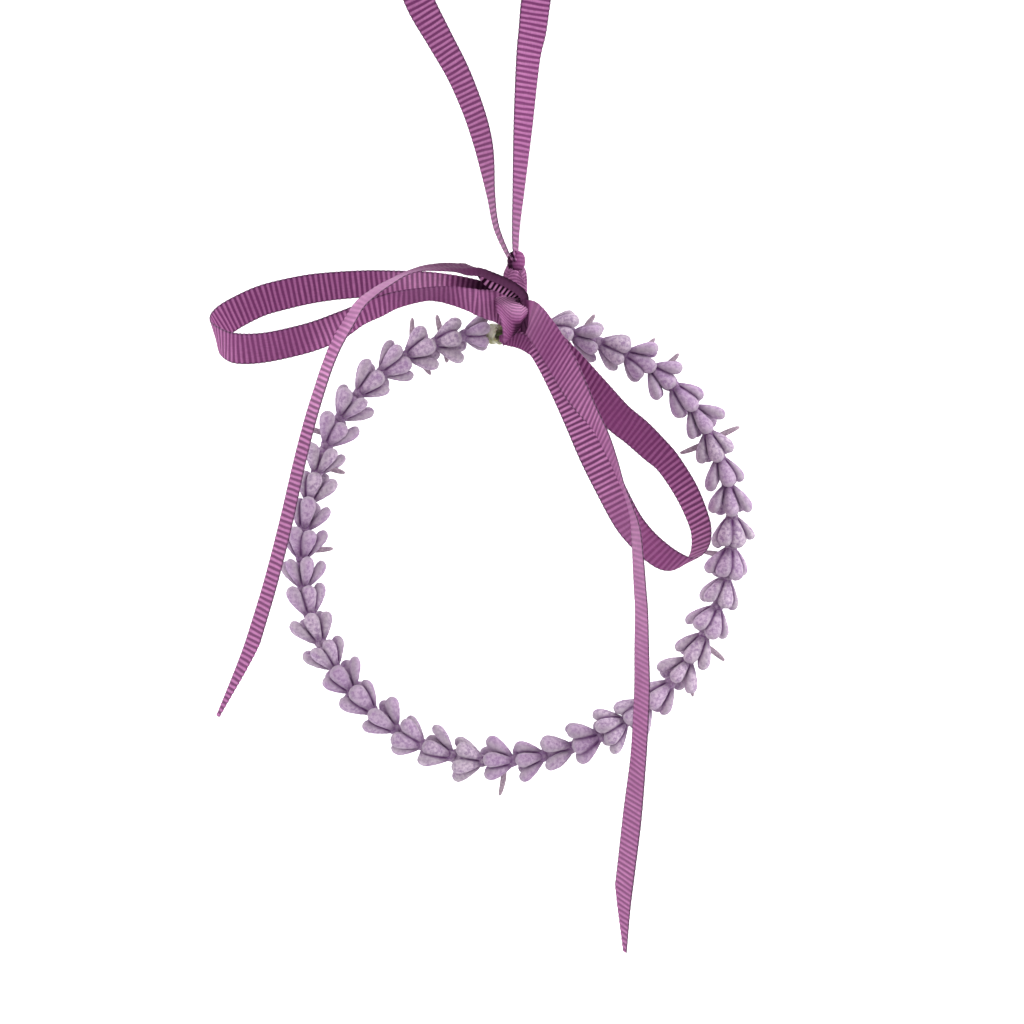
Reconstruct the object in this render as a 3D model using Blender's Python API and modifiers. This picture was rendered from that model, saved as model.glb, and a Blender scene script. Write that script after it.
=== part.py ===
"""A small lavender wreath that hangs by a ribbon.

Moulded whorls of flocked lavender buds are threaded on a wire that is bent into a ring. A short stem end
closes the row of whorls. A hanging ribbon passes round the two wire ends, is knotted above them and goes
up in a loop. A bow is tied round its neck, with two loops and two tails.

Run with blender --background --python part.py, or from the text editor. Lengths are in metres and +Z is
up. The wreath looks along -Y. The origin is the inner top of the hanging loop, where it hangs.
"""

import math
import random

import bmesh
import bpy
from mathutils import Matrix, Vector

MM = 0.001

# Where the bow's knot sits under the top of the hanging loop, and the ring's centre under the knot
KNOT_CENTRE = Vector((5.8, 0.0, -105.7)) * MM
RING_CENTRE = KNOT_CENTRE + Vector((0.8, 0.0, -45.8)) * MM

# The ring is bent by hand: its radius in millimetres every 30 degrees, clockwise as seen from the front,
# from 15 degrees before the top to 15 degrees past it
RING_RADII = [45.6, 44.3, 45.2, 44.0, 41.8, 40.7, 41.2, 43.1, 43.2, 43.2, 42.4, 44.1, 43.9, 41.2]
RADII_FIRST_CLOCK = -15.0
RADII_STEP = 30.0
WIRE_RADIUS = 0.4 * MM
WIRE_POINTS = 70
CLOCK_NUDGE = 0.5
WIRE_START = -2.9
WIRE_FINISH = 361.0
START_LEAVES_RING = 6.0
END_LEAVES_RING = 355.8
LAP_RUN = 3.4
WIRE_LAP = 0.6 * MM

# The whorls, each with its tips towards the next one clockwise. They sit closer together in some places
# than in others: these are the clock positions of a few of them, and the rest are spaced evenly between.
KEY_WHORLS = {1: 11.0, 10: 76.6, 20: 159.8, 27: 217.4, 35: 278.8, 44: 349.8}
SLEEVE_RADIUS = 1.7 * MM
SLEEVE_LENGTH = 5.3 * MM
SLEEVE_SIDES = 6
BORE_RADIUS = 0.85 * MM
BORE_REACH = 3.0
BUD_LENGTH = 5.6 * MM
BUD_WIDTH = 3.3 * MM
BUD_THICKNESS = 2.2 * MM
BUD_SEGMENTS = 5
BUD_RINGS = 3
BUD_ROOT_WIDTH = 0.4
BUD_TIP_WIDTH = 1.32
BUD_ROOT_RADIUS = 0.75 * MM
BUD_ROOT_HEIGHT = -2.2 * MM
BUD_FULLNESS = 0.08
SPLAY_DEGREES = (21.0, 38.0)
BUD_COUNTS = (5, 5, 5, 6)
BUD_SCALES = (0.92, 1.04)
BUD_JITTER = 0.05
# Most whorls turn one bud to the front. These turn the gap between two buds there.
FRONT_GAP_WHORLS = {2, 3, 11, 12, 13, 14, 19, 21, 24, 26, 30, 32, 33, 34, 37, 38, 39, 41, 44}
ROLL_JITTER = math.radians(9.0)
BRACT_RADIUS = 0.36 * MM
BRACT_SIDES = 3
BRACT_FOOT_SPREAD = 1.3
BRACT_HEIGHT = -1.0 * MM
# Whorls with thin dry bracts, numbered clockwise. A bract is the way it points round the wire in degrees,
# with 90 outwards and -90 to the ring's middle, its splay from the wire in degrees, and its length in mm.
BRACTS = {
    2: ((90, 76, 4.6),),
    4: ((80, 62, 5.2),),
    5: ((95, 72, 5.0),),
    8: ((90, 92, 5.4), (-90, 84, 6.0)),
    12: ((-90, 90, 4.6),),
    15: ((90, 88, 5.4),),
    16: ((100, 60, 5.6),),
    23: ((90, 88, 6.2),),
    34: ((-90, 86, 5.4),),
    37: ((-90, 90, 4.6),),
    38: ((90, 90, 5.0),),
    42: ((90, 70, 6.2), (-90, 76, 4.8)),
    43: ((90, 88, 4.6), (-90, 88, 3.6)),
}

# The cut end of the stem, left of the knot
STEM_END_CLOCK = 354.8
STEM_END_RADIUS = 1.9 * MM
STEM_END_LENGTH = 1.5 * MM
STEM_END_BORE = 1.0 * MM
STEM_END_SIDES = 8
STEM_END_ROUNDING = 0.4 * MM
STEM_END_CORNER_DEGREES = 50.0

RIBBON_WIDTH = 6.35 * MM
RIBBON_THICKNESS = 0.6 * MM
ROW_SPACING = 3.6 * MM
CURVE_NUDGE = 0.01

# Ribbon routes in millimetres from the bow's knot, chosen by hand along each ribbon's middle. A point is
# x, y, z, then lean and turn: the way across the ribbon leans that many degrees from +Z towards +X, and
# turns that many degrees out of the wreath's plane towards -Y.
LEFT_LOOP = [
    (-1.2, -4.6, 1.8, 8, 6), (-3.0, -5.8, 2.4, 8, 12), (-4.7, -6.5, 2.7, 6, 26), (-6.6, -7.1, 3.1, 4, 42),
    (-8.3, -7.7, 3.9, 2, 55), (-12.3, -8.7, 4.6, -2, 64), (-16.2, -9.8, 4.8, -4, 68),
    (-22.1, -11.3, 3.7, -8, 62), (-26.1, -12.3, 2.2, -12, 53), (-30.0, -13.0, 0.5, -14, 50),
    (-33.9, -13.6, -1.6, -16, 35), (-37.9, -13.9, -3.3, -17, 29), (-41.8, -14.0, -4.5, -17, 26),
    (-47.7, -13.8, -5.8, -14, 24), (-52.1, -13.1, -6.2, -12, 17), (-55.3, -11.7, -5.9, -13, 9),
    (-57.6, -9.3, -4.8, -15, 4), (-58.9, -6.4, -3.5, -16, 0), (-58.8, -3.6, -1.9, -16, 2),
    (-57.3, -1.2, 0.0, -16, 7), (-54.4, 0.6, 1.9, -15, 14), (-50.5, 1.7, 3.8, -15, 18),
    (-46.5, 2.2, 5.0, -15, 19), (-40.5, 2.4, 6.3, -14, 24), (-34.5, 2.2, 7.0, -11, 30),
    (-28.4, 1.6, 7.3, -9, 32), (-22.4, 0.5, 7.1, -6, 30), (-16.4, -0.8, 6.7, -3, 26),
    (-10.4, -2.1, 5.7, 0, 21), (-5.4, -3.0, 4.3, 4, 14), (-1.6, -3.6, 2.7, 6, 6),
]
RIGHT_LOOP = [
    (1.8, -3.9, 0.2, 50, 6), (4.2, -4.4, -2.0, 48, 6), (7.6, -5.0, -5.2, 46, 6), (11.5, -5.1, -9.1, 45, 10),
    (16.2, -4.5, -14.2, 45, 12), (21.0, -3.5, -19.4, 45, 12), (24.8, -2.9, -22.5, 47, 17),
    (28.1, -2.6, -25.6, 50, 26), (31.1, -2.8, -28.6, 54, 38), (34.7, -3.4, -34.2, 60, 42),
    (37.1, -4.4, -39.8, 66, 48), (37.7, -5.3, -43.0, 68, 50), (37.3, -6.6, -45.8, 66, 50),
    (35.8, -8.4, -47.8, 62, 46), (33.6, -10.0, -48.6, 58, 40), (30.9, -11.2, -47.9, 52, 34),
    (28.1, -12.0, -46.0, 50, 32), (25.3, -12.5, -43.3, 52, 32), (22.5, -12.7, -39.6, 58, 28),
    (19.0, -12.7, -32.9, 60, 24), (16.0, -12.2, -26.7, 61, 21), (12.9, -11.3, -19.4, 62, 21),
    (9.9, -10.0, -12.7, 62, 21), (7.1, -8.4, -7.1, 62, 19), (4.8, -7.0, -3.6, 64, 14),
    (2.2, -5.8, -1.2, 66, 9),
]
LEFT_TAIL = [
    (1.4, -5.6, 2.6, 35, 64), (2.2, -6.2, 3.9, 20, 70), (1.2, -6.9, 5.3, 10, 74), (-0.8, -7.8, 6.6, 4, 75),
    (-4.0, -9.2, 8.0, 0, 75), (-7.5, -10.8, 9.4, -4, 76), (-11.3, -12.2, 10.0, -8, 77),
    (-15.0, -13.6, 9.8, -10, 82), (-18.1, -14.8, 9.4, -10, 88), (-21.1, -16.0, 8.4, 150, 83),
    (-24.0, -17.0, 6.8, 140, 77), (-26.9, -17.8, 4.9, 134, 73), (-29.8, -18.4, 2.4, 128, 69),
    (-32.1, -18.8, -1.3, 118, 66), (-34.5, -18.8, -5.6, 110, 66), (-36.1, -18.6, -9.4, 108, 67),
    (-37.5, -18.3, -13.5, 106, 67), (-39.6, -17.8, -20.3, 103, 66), (-41.8, -17.2, -28.8, 104, 65),
    (-44.3, -16.5, -39.8, 105, 63), (-47.2, -15.8, -51.2, 106, 62), (-49.9, -15.2, -60.3, 108, 61),
    (-52.3, -14.7, -67.6, 109, 60), (-57.0, -14.0, -79.4, 110, 60),
]
RIGHT_TAIL = [
    (1.4, -6.6, 0.5, 60, 24), (3.6, -7.6, 0.3, 62, 26), (5.9, -8.7, -2.5, 64, 24),
    (8.1, -10.0, -5.9, 64, 24), (10.7, -11.9, -10.5, 66, 28), (13.4, -13.6, -15.5, 66, 44),
    (16.5, -15.0, -20.5, 64, 65), (18.6, -16.3, -24.8, 66, 71), (20.4, -17.3, -29.2, 68, 79),
    (21.7, -18.0, -33.1, 70, 84), (23.3, -18.3, -37.6, 76, 82), (24.3, -18.3, -41.9, 84, 75),
    (24.8, -17.7, -47.8, 88, 71), (25.2, -16.7, -53.7, 88, 69), (25.5, -15.9, -57.9, 90, 68),
    (25.6, -14.0, -65.6, 91, 65), (25.7, -11.8, -73.2, 92, 63), (25.4, -9.3, -81.6, 94, 63),
    (25.0, -7.0, -88.4, 96, 62), (24.0, -3.7, -98.8, 97, 56), (22.9, -0.6, -109.0, 97, 57),
    (22.0, 2.0, -117.2, 97, 58), (21.3, 4.8, -125.8, 97, 58),
]
HANGING_LOOP = [
    (0.2, -0.2, 11.6, 60, 86), (-1.2, -0.2, 13.8, 60, 84), (-3.2, -0.2, 18.8, 60, 80),
    (-4.2, -0.1, 25.0, 62, 74), (-5.1, 0.0, 31.6, 66, 59), (-6.1, 0.0, 36.6, 67, 51),
    (-7.9, 0.0, 42.4, 67, 47), (-10.9, 0.0, 49.6, 66, 42), (-14.7, 0.0, 56.6, 66, 34),
    (-18.6, 0.0, 64.0, 67, 22), (-21.7, 0.0, 73.0, 76, 24), (-23.2, 0.0, 82.0, 88, 44),
    (-22.4, 0.0, 91.0, 104, 68), (-19.0, 0.0, 98.6, 120, 80), (-13.0, 0.0, 104.0, 150, 88),
    (-5.8, 0.0, 106.0, 180, 90), (1.0, 0.0, 104.0, -150, 88), (5.4, 0.0, 98.0, -120, 80),
    (7.2, 0.0, 90.0, -100, 66), (7.1, 0.0, 81.0, -92, 44), (6.1, 0.0, 72.0, -86, 26),
    (4.8, 0.0, 64.0, -83, 21), (4.1, 0.0, 58.0, -83, 28), (3.2, 0.0, 52.0, -83, 41),
    (2.2, 0.0, 38.8, -81, 53), (1.3, 0.0, 26.0, -80, 68), (0.8, -0.1, 18.8, -80, 76),
    (0.7, -0.2, 13.8, -80, 80), (1.0, -0.2, 11.6, -80, 86),
]
# The strap that holds the bow, behind the hanging ribbon's neck
BOW_STRAP = [
    (-2.2, -4.0, 2.6, 0, 0), (-3.4, -2.2, 2.7, 0, 0), (-3.3, 0.0, 2.8, 0, 0), (-2.3, 1.5, 2.8, 0, 0),
    (0.6, 1.8, 2.8, 0, 0), (3.7, 1.5, 2.8, 0, 0), (4.9, 0.0, 2.8, 0, 0), (4.8, -2.2, 2.6, 0, 0),
    (2.6, -4.0, 2.4, 0, 0),
]
STRAP_WIDTH = 2.8 * MM
TAIL_CUTS = {"left": 17.0 * MM, "right": 12.4 * MM}
TIP_WIDTH = 0.6 * MM

BOW_KNOT_CENTRE = KNOT_CENTRE + Vector((0.0, -5.3, 0.0)) * MM
BOW_KNOT_SIZE = Vector((6.2, 5.8, 6.2)) * MM
BOW_KNOT_ROUNDING = 1.9 * MM
BOW_KNOT_STEPS = 3
OVERHAND_CENTRE = KNOT_CENTRE + Vector((0.6, -0.2, 11.9)) * MM
OVERHAND_RADII = Vector((1.8, 1.8, 2.2)) * MM
OVERHAND_SEGMENTS = 12
OVERHAND_RINGS = 8

# The hanging ribbon's gathered neck and the eye in it that holds the wire ends, seen from the side
NECK_X = 0.6 * MM
NECK_WIDTH = 4.8 * MM
NECK_TOP_WIDTH = 2.8 * MM
NECK_HALF_DEPTH = 0.7 * MM
NECK_FOOT = 2.6 * MM
NECK_SHOULDER = 8.0 * MM
NECK_TOP = 10.6 * MM
EYE_HEIGHT = -2.2 * MM
EYE_RADIUS = 1.5 * MM
EYE_WALL = 0.6 * MM
EYE_APEX = 0.3 * MM
EYE_STEPS = 12
# The rounds at the neck's foot and in the eye, in degrees: where each starts and how far it turns
NECK_ROUND = (20.0, 220.0)
EYE_ROUND = (30.0, 240.0)

FLOCK_COLOUR = (0.42, 0.30, 0.45, 1.0)
RIBBON_COLOUR = (0.33, 0.10, 0.28, 1.0)
WIRE_COLOUR = (0.16, 0.22, 0.10, 1.0)
STEM_COLOUR = (0.55, 0.56, 0.36, 1.0)
FLOCK_ROUGHNESS = 0.95
RIBBON_ROUGHNESS = 0.7
WIRE_ROUGHNESS = 0.6
STEM_ROUGHNESS = 0.7
WHORL_SHARP_DEGREES = 40.0
RIBBON_SHARP_DEGREES = 50.0
WELD_DISTANCE = 1e-6

SEED = 11


def clear_scene():
    for thing in list(bpy.data.objects):
        bpy.data.objects.remove(thing, do_unlink=True)


def make_collection(name):
    collection = bpy.data.collections.new(name)
    bpy.context.scene.collection.children.link(collection)
    return collection


def make_material(name, colour, roughness):
    material = bpy.data.materials.new(name)
    material.use_nodes = True
    shader = material.node_tree.nodes["Principled BSDF"]
    shader.inputs["Base Color"].default_value = colour
    shader.inputs["Roughness"].default_value = roughness
    shader.inputs["Metallic"].default_value = 0.0
    return material


def object_from_bmesh(name, bm, collection, matrix=None):
    """Make an object from a bmesh, with the matrix baked into its mesh, and link it to a collection."""
    if matrix is not None:
        bmesh.ops.transform(bm, matrix=matrix, verts=bm.verts)
    bmesh.ops.recalc_face_normals(bm, faces=bm.faces)
    mesh = bpy.data.meshes.new(name)
    bm.to_mesh(mesh)
    bm.free()
    thing = bpy.data.objects.new(name, mesh)
    collection.objects.link(thing)
    return thing


def bake(thing):
    """Replace an object's data by the mesh that its modifiers give, welded where caps meet walls."""
    bpy.context.view_layer.update()
    evaluated = thing.evaluated_get(bpy.context.evaluated_depsgraph_get())
    mesh = bpy.data.meshes.new_from_object(evaluated)
    bm = bmesh.new()
    bm.from_mesh(mesh)
    bmesh.ops.remove_doubles(bm, verts=bm.verts, dist=WELD_DISTANCE)
    bm.to_mesh(mesh)
    bm.free()
    baked = bpy.data.objects.new(thing.name + "_baked", mesh)
    baked.matrix_world = thing.matrix_world.copy()
    for collection in thing.users_collection:
        collection.objects.link(baked)
    name = thing.name
    bpy.data.objects.remove(thing, do_unlink=True)
    baked.name = name
    return baked


def keep_outer_shell(mesh):
    """Keep the shell with the most faces. That fills sealed hollows and drops loose scraps."""
    bm = bmesh.new()
    bm.from_mesh(mesh)
    waiting = set(bm.faces)
    shells = []
    while waiting:
        shell = {waiting.pop()}
        front = list(shell)
        while front:
            face = front.pop()
            near = {other for edge in face.edges for other in edge.link_faces} & waiting
            waiting -= near
            shell |= near
            front.extend(near)
        shells.append(shell)
    shells.sort(key=len)
    for shell in shells[:-1]:
        bmesh.ops.delete(bm, geom=list(shell), context="FACES")
    bm.to_mesh(mesh)
    bm.free()


def fuse(base, pieces):
    """Join every object of the collection to the base in one closed body, and remove them."""
    union = base.modifiers.new("union", "BOOLEAN")
    union.operation = "UNION"
    union.operand_type = "COLLECTION"
    union.collection = pieces
    union.solver = "EXACT"
    fused = bake(base)
    keep_outer_shell(fused.data)
    for piece in list(pieces.objects):
        bpy.data.objects.remove(piece, do_unlink=True)
    return fused


def cut(base, cutter):
    """Cut one closed body out of another, and remove the cutter."""
    difference = base.modifiers.new("difference", "BOOLEAN")
    difference.operation = "DIFFERENCE"
    difference.object = cutter
    difference.solver = "EXACT"
    result = bake(base)
    bpy.data.objects.remove(cutter, do_unlink=True)
    return result


def finish_piece(thing, material, sharp_degrees):
    thing.data.materials.clear()
    thing.data.materials.append(material)
    thing.data.shade_smooth()
    thing.data.set_sharp_from_angle(angle=math.radians(sharp_degrees))


def catmull_rom(before, start, end, after, t):
    """A smooth value between start and end, for numbers and vectors alike."""
    return 0.5 * (
        2.0 * start
        + (end - before) * t
        + (2.0 * before - 5.0 * start + 4.0 * end - after) * t * t
        + (3.0 * start - before - 3.0 * end + after) * t * t * t
    )


def ring_radius(clock):
    last = len(RING_RADII) - 1
    place = (clock - RADII_FIRST_CLOCK) / RADII_STEP
    first = int(place)
    values = [RING_RADII[min(max(first + offset, 0), last)] * MM for offset in (-1, 0, 1, 2)]
    return catmull_rom(*values, place - first)


def ring_point(clock):
    angle = math.radians(clock)
    radius = ring_radius(clock)
    return RING_CENTRE + Vector((radius * math.sin(angle), 0.0, radius * math.cos(angle)))


def ring_frame(clock):
    """A matrix at a clock position: local Z runs clockwise along the wire, local Y points to the back."""
    along = (ring_point(clock + CLOCK_NUDGE) - ring_point(clock - CLOCK_NUDGE)).normalized()
    back = Vector((0.0, 1.0, 0.0))
    side = back.cross(along)
    turn = Matrix((side, back, along)).transposed().to_4x4()
    return Matrix.Translation(ring_point(clock)) @ turn


def whorl_clocks():
    """Clock positions of all the whorls, evenly spaced from each key whorl to the next."""
    keys = list(KEY_WHORLS.items())
    clocks = [keys[0][1]]
    for (number, clock), (next_number, next_clock) in zip(keys, keys[1:]):
        steps = next_number - number
        clocks += [clock + (next_clock - clock) * step / steps for step in range(1, steps + 1)]
    return clocks


def cylinder(name, radius, length, sides, collection, matrix=None):
    bm = bmesh.new()
    bmesh.ops.create_cone(
        bm, cap_ends=True, segments=sides, radius1=radius, radius2=radius, depth=length
    )
    return object_from_bmesh(name, bm, collection, matrix)


def bud(name, collection, around, splay, scale):
    """One obovate bud: narrow where it leaves the sleeve, widest past its middle, with a round tip."""
    bm = bmesh.new()
    bmesh.ops.create_uvsphere(bm, u_segments=BUD_SEGMENTS, v_segments=BUD_RINGS, radius=1.0)
    for vert in bm.verts:
        along = (vert.co.z + 1.0) / 2.0
        width = BUD_ROOT_WIDTH + (BUD_TIP_WIDTH - BUD_ROOT_WIDTH) * along
        vert.co.x *= width * BUD_WIDTH / 2.0 * scale
        vert.co.y *= width * BUD_THICKNESS / 2.0 * scale
        vert.co.z = (along + BUD_FULLNESS * math.sin(math.pi * along)) * BUD_LENGTH * scale
    lean_out = Matrix.Rotation(-splay, 4, "X")
    to_sleeve = Matrix.Translation((0.0, BUD_ROOT_RADIUS, BUD_ROOT_HEIGHT))
    swing = Matrix.Rotation(around, 4, "Z")
    return object_from_bmesh(name, bm, collection, swing @ to_sleeve @ lean_out)


def bract(name, collection, around, splay, length):
    """A thin three-sided bract that stands out sideways from the foot of a whorl."""
    bm = bmesh.new()
    foot = BRACT_RADIUS * BRACT_FOOT_SPREAD
    bmesh.ops.create_cone(
        bm, cap_ends=True, segments=BRACT_SIDES, radius1=foot, radius2=BRACT_RADIUS, depth=length
    )
    raise_foot = Matrix.Translation((0.0, 0.0, length / 2.0))
    lean_out = Matrix.Rotation(-splay, 4, "X")
    to_sleeve = Matrix.Translation((0.0, BUD_ROOT_RADIUS, BRACT_HEIGHT))
    swing = Matrix.Rotation(around, 4, "Z")
    return object_from_bmesh(name, bm, collection, swing @ to_sleeve @ lean_out @ raise_foot)


def build_whorl(number, clock, draw, collection, pieces, material):
    """A moulded whorl of five or six buds round a sleeve that the wire passes through."""
    whorl = cylinder(f"whorl_{number:02d}", SLEEVE_RADIUS, SLEEVE_LENGTH, SLEEVE_SIDES, collection)
    count = draw.choice(BUD_COUNTS)
    # Local Y points to the back and local X to the middle of the ring, so the front is half a turn round
    roll = math.pi + draw.uniform(-ROLL_JITTER, ROLL_JITTER)
    if number in FRONT_GAP_WHORLS:
        roll += math.pi / count
    for index in range(count):
        around = roll + 2.0 * math.pi * (index + draw.uniform(-BUD_JITTER, BUD_JITTER)) / count
        splay = math.radians(draw.uniform(*SPLAY_DEGREES))
        bud(f"bud_{index}", pieces, around, splay, draw.uniform(*BUD_SCALES))
    for around, splay, length in BRACTS.get(number, ()):
        bract("bract", pieces, math.radians(around), math.radians(splay), length * MM)
    whorl = fuse(whorl, pieces)
    bore = cylinder("bore", BORE_RADIUS, SLEEVE_LENGTH * BORE_REACH, SLEEVE_SIDES, pieces)
    whorl = cut(whorl, bore)
    whorl.matrix_world = ring_frame(clock)
    finish_piece(whorl, material, WHORL_SHARP_DEGREES)
    return whorl


def build_stem_end(collection, pieces, material):
    stem = cylinder("stem_end", STEM_END_RADIUS, STEM_END_LENGTH, STEM_END_SIDES, collection)
    bevel = stem.modifiers.new("rounded", "BEVEL")
    bevel.width = STEM_END_ROUNDING
    bevel.segments = 2
    bevel.limit_method = "ANGLE"
    bevel.angle_limit = math.radians(STEM_END_CORNER_DEGREES)
    stem = bake(stem)
    bore = cylinder("bore", STEM_END_BORE, STEM_END_LENGTH * BORE_REACH, SLEEVE_SIDES, pieces)
    stem = cut(stem, bore)
    stem.matrix_world = ring_frame(STEM_END_CLOCK)
    finish_piece(stem, material, WHORL_SHARP_DEGREES)
    return stem


def wire_point(clock):
    """The wire's middle. Its two ends come together in the eye, one behind and one in front."""
    point = ring_point(clock)
    if clock < START_LEAVES_RING:
        share = min(1.0, (START_LEAVES_RING - clock) / LAP_RUN)
        lap = WIRE_LAP
    elif clock > END_LEAVES_RING:
        share = min(1.0, (clock - END_LEAVES_RING) / LAP_RUN)
        lap = -WIRE_LAP
    else:
        return point
    eye = Vector((point.x, lap, KNOT_CENTRE.z + EYE_HEIGHT))
    return point.lerp(eye, share)


def build_wire(collection, material):
    data = bpy.data.curves.new("ring_wire", "CURVE")
    data.dimensions = "3D"
    data.bevel_depth = WIRE_RADIUS
    data.bevel_resolution = 2
    data.use_fill_caps = True
    spline = data.splines.new("POLY")
    spline.points.add(WIRE_POINTS - 1)
    for index, place in enumerate(spline.points):
        clock = WIRE_START + (WIRE_FINISH - WIRE_START) * index / (WIRE_POINTS - 1)
        place.co = (*wire_point(clock), 1.0)
    data.materials.append(material)
    wire = bpy.data.objects.new("ring_wire", data)
    collection.objects.link(wire)
    return wire


def across_direction(lean, turn):
    lean = math.radians(lean)
    turn = math.radians(turn)
    return Vector((math.sin(lean) * math.cos(turn), -math.sin(turn), math.cos(lean) * math.cos(turn)))


def ribbon_rows(route):
    """Points along a smooth curve through a route, each with the direction across the ribbon."""
    middles = [KNOT_CENTRE + Vector(point[:3]) * MM for point in route]
    across = [across_direction(point[3], point[4]) for point in route]
    last = len(route) - 1
    places = []
    for span in range(last):
        steps = max(1, round((middles[span + 1] - middles[span]).length / ROW_SPACING))
        for step in range(steps):
            places.append((span, step / steps))
    places.append((last - 1, 1.0))
    rows = []
    for span, t in places:
        four = [min(max(span + offset, 0), last) for offset in (-1, 0, 1, 2)]
        middle = catmull_rom(*(middles[index] for index in four), t)
        ahead = catmull_rom(*(middles[index] for index in four), t + CURVE_NUDGE)
        along = (ahead - middle).normalized()
        side = catmull_rom(*(across[index] for index in four), t)
        side = (side - side.dot(along) * along).normalized()
        rows.append((middle, side))
    return rows


def ribbon(name, route, width, collection, cut_length=0.0, long_edge=1.0):
    """A length of ribbon as a thin closed strip. A cut tail keeps its long edge to the very tip."""
    rows = ribbon_rows(route)
    left = [0.0]
    for row, following in zip(reversed(rows), list(reversed(rows))[1:]):
        left.append(left[-1] + (row[0] - following[0]).length)
    left.reverse()
    bm = bmesh.new()
    edge_pairs = []
    for (middle, side), to_go in zip(rows, left):
        ends = [-width / 2.0, width / 2.0]
        if to_go < cut_length:
            kept = TIP_WIDTH + (width - TIP_WIDTH) * to_go / cut_length
            if long_edge > 0.0:
                ends[0] = ends[1] - kept
            else:
                ends[1] = ends[0] + kept
        edge_pairs.append([bm.verts.new(middle + side * end) for end in ends])
    for near, far in zip(edge_pairs, edge_pairs[1:]):
        bm.faces.new((near[0], near[1], far[1]))
        bm.faces.new((near[0], far[1], far[0]))
    strip = object_from_bmesh(name, bm, collection)
    solidify = strip.modifiers.new("thickness", "SOLIDIFY")
    solidify.thickness = RIBBON_THICKNESS
    solidify.offset = 0.0
    return bake(strip)


def rounded_block(name, centre, size, rounding, collection):
    bm = bmesh.new()
    bmesh.ops.create_cube(bm, size=1.0)
    bmesh.ops.scale(bm, vec=size, verts=bm.verts)
    block = object_from_bmesh(name, bm, collection, Matrix.Translation(centre))
    bevel = block.modifiers.new("rounded", "BEVEL")
    bevel.width = rounding
    bevel.segments = BOW_KNOT_STEPS
    return bake(block)


def ball(name, centre, radii, collection):
    bm = bmesh.new()
    bmesh.ops.create_uvsphere(bm, u_segments=OVERHAND_SEGMENTS, v_segments=OVERHAND_RINGS, radius=1.0)
    matrix = Matrix.Translation(centre) @ Matrix.Diagonal((*radii, 1.0))
    return object_from_bmesh(name, bm, collection, matrix)


def neck_outline():
    """The neck's outline in its own plane: up both sides from the round of the eye."""
    points = []
    for step in range(EYE_STEPS + 1):
        angle = math.radians(NECK_ROUND[0] - NECK_ROUND[1] * step / EYE_STEPS)
        reach = EYE_RADIUS + EYE_WALL
        points.append((reach * math.cos(angle), EYE_HEIGHT + reach * math.sin(angle)))
    left_side = [(-NECK_HALF_DEPTH, height) for height in (NECK_FOOT, NECK_SHOULDER, NECK_TOP)]
    right_side = [(-x, height) for x, height in reversed(left_side)]
    return points + left_side + right_side


def eye_outline():
    points = [(0.0, EYE_APEX)]
    for step in range(EYE_STEPS + 1):
        angle = math.radians(EYE_ROUND[0] - EYE_ROUND[1] * step / EYE_STEPS)
        points.append((EYE_RADIUS * math.cos(angle), EYE_HEIGHT + EYE_RADIUS * math.sin(angle)))
    return points


def build_neck(collection):
    """The gathered neck, cut from its side outline with the eye as a hole, and drawn in at its top."""
    data = bpy.data.curves.new("neck", "CURVE")
    data.dimensions = "2D"
    data.fill_mode = "BOTH"
    data.extrude = NECK_WIDTH / 2.0
    for outline in (neck_outline(), eye_outline()):
        spline = data.splines.new("POLY")
        spline.points.add(len(outline) - 1)
        for place, (x, y) in zip(spline.points, outline):
            place.co = (x, y, 0.0, 1.0)
        spline.use_cyclic_u = True
    neck = bpy.data.objects.new("neck", data)
    collection.objects.link(neck)
    neck = bake(neck)
    for vert in neck.data.vertices:
        if vert.co.y > (NECK_SHOULDER + NECK_TOP) / 2.0:
            vert.co.z *= NECK_TOP_WIDTH / NECK_WIDTH
    # The outline's own x and y become the depth and the height, and its thickness runs along X
    turn = Matrix(((0.0, 0.0, 1.0), (1.0, 0.0, 0.0), (0.0, 1.0, 0.0))).to_4x4()
    matrix = Matrix.Translation(KNOT_CENTRE + Vector((NECK_X, 0.0, 0.0))) @ turn
    neck.data.transform(matrix)
    return neck


def build_hanging_ribbon(collection, pieces, material):
    hanging = ball("hanging_ribbon", OVERHAND_CENTRE, OVERHAND_RADII, collection)
    ribbon("hanging_loop", HANGING_LOOP, RIBBON_WIDTH, pieces)
    build_neck(pieces)
    hanging = fuse(hanging, pieces)
    finish_piece(hanging, material, RIBBON_SHARP_DEGREES)
    return hanging


def build_bow(collection, pieces, material):
    bow = rounded_block("bow_ribbon", BOW_KNOT_CENTRE, BOW_KNOT_SIZE, BOW_KNOT_ROUNDING, collection)
    ribbon("left_loop", LEFT_LOOP, RIBBON_WIDTH, pieces)
    ribbon("right_loop", RIGHT_LOOP, RIBBON_WIDTH, pieces)
    ribbon("left_tail", LEFT_TAIL, RIBBON_WIDTH, pieces, TAIL_CUTS["left"], -1.0)
    ribbon("right_tail", RIGHT_TAIL, RIBBON_WIDTH, pieces, TAIL_CUTS["right"], 1.0)
    ribbon("strap", BOW_STRAP, STRAP_WIDTH, pieces)
    bow = fuse(bow, pieces)
    finish_piece(bow, material, RIBBON_SHARP_DEGREES)
    return bow


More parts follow.
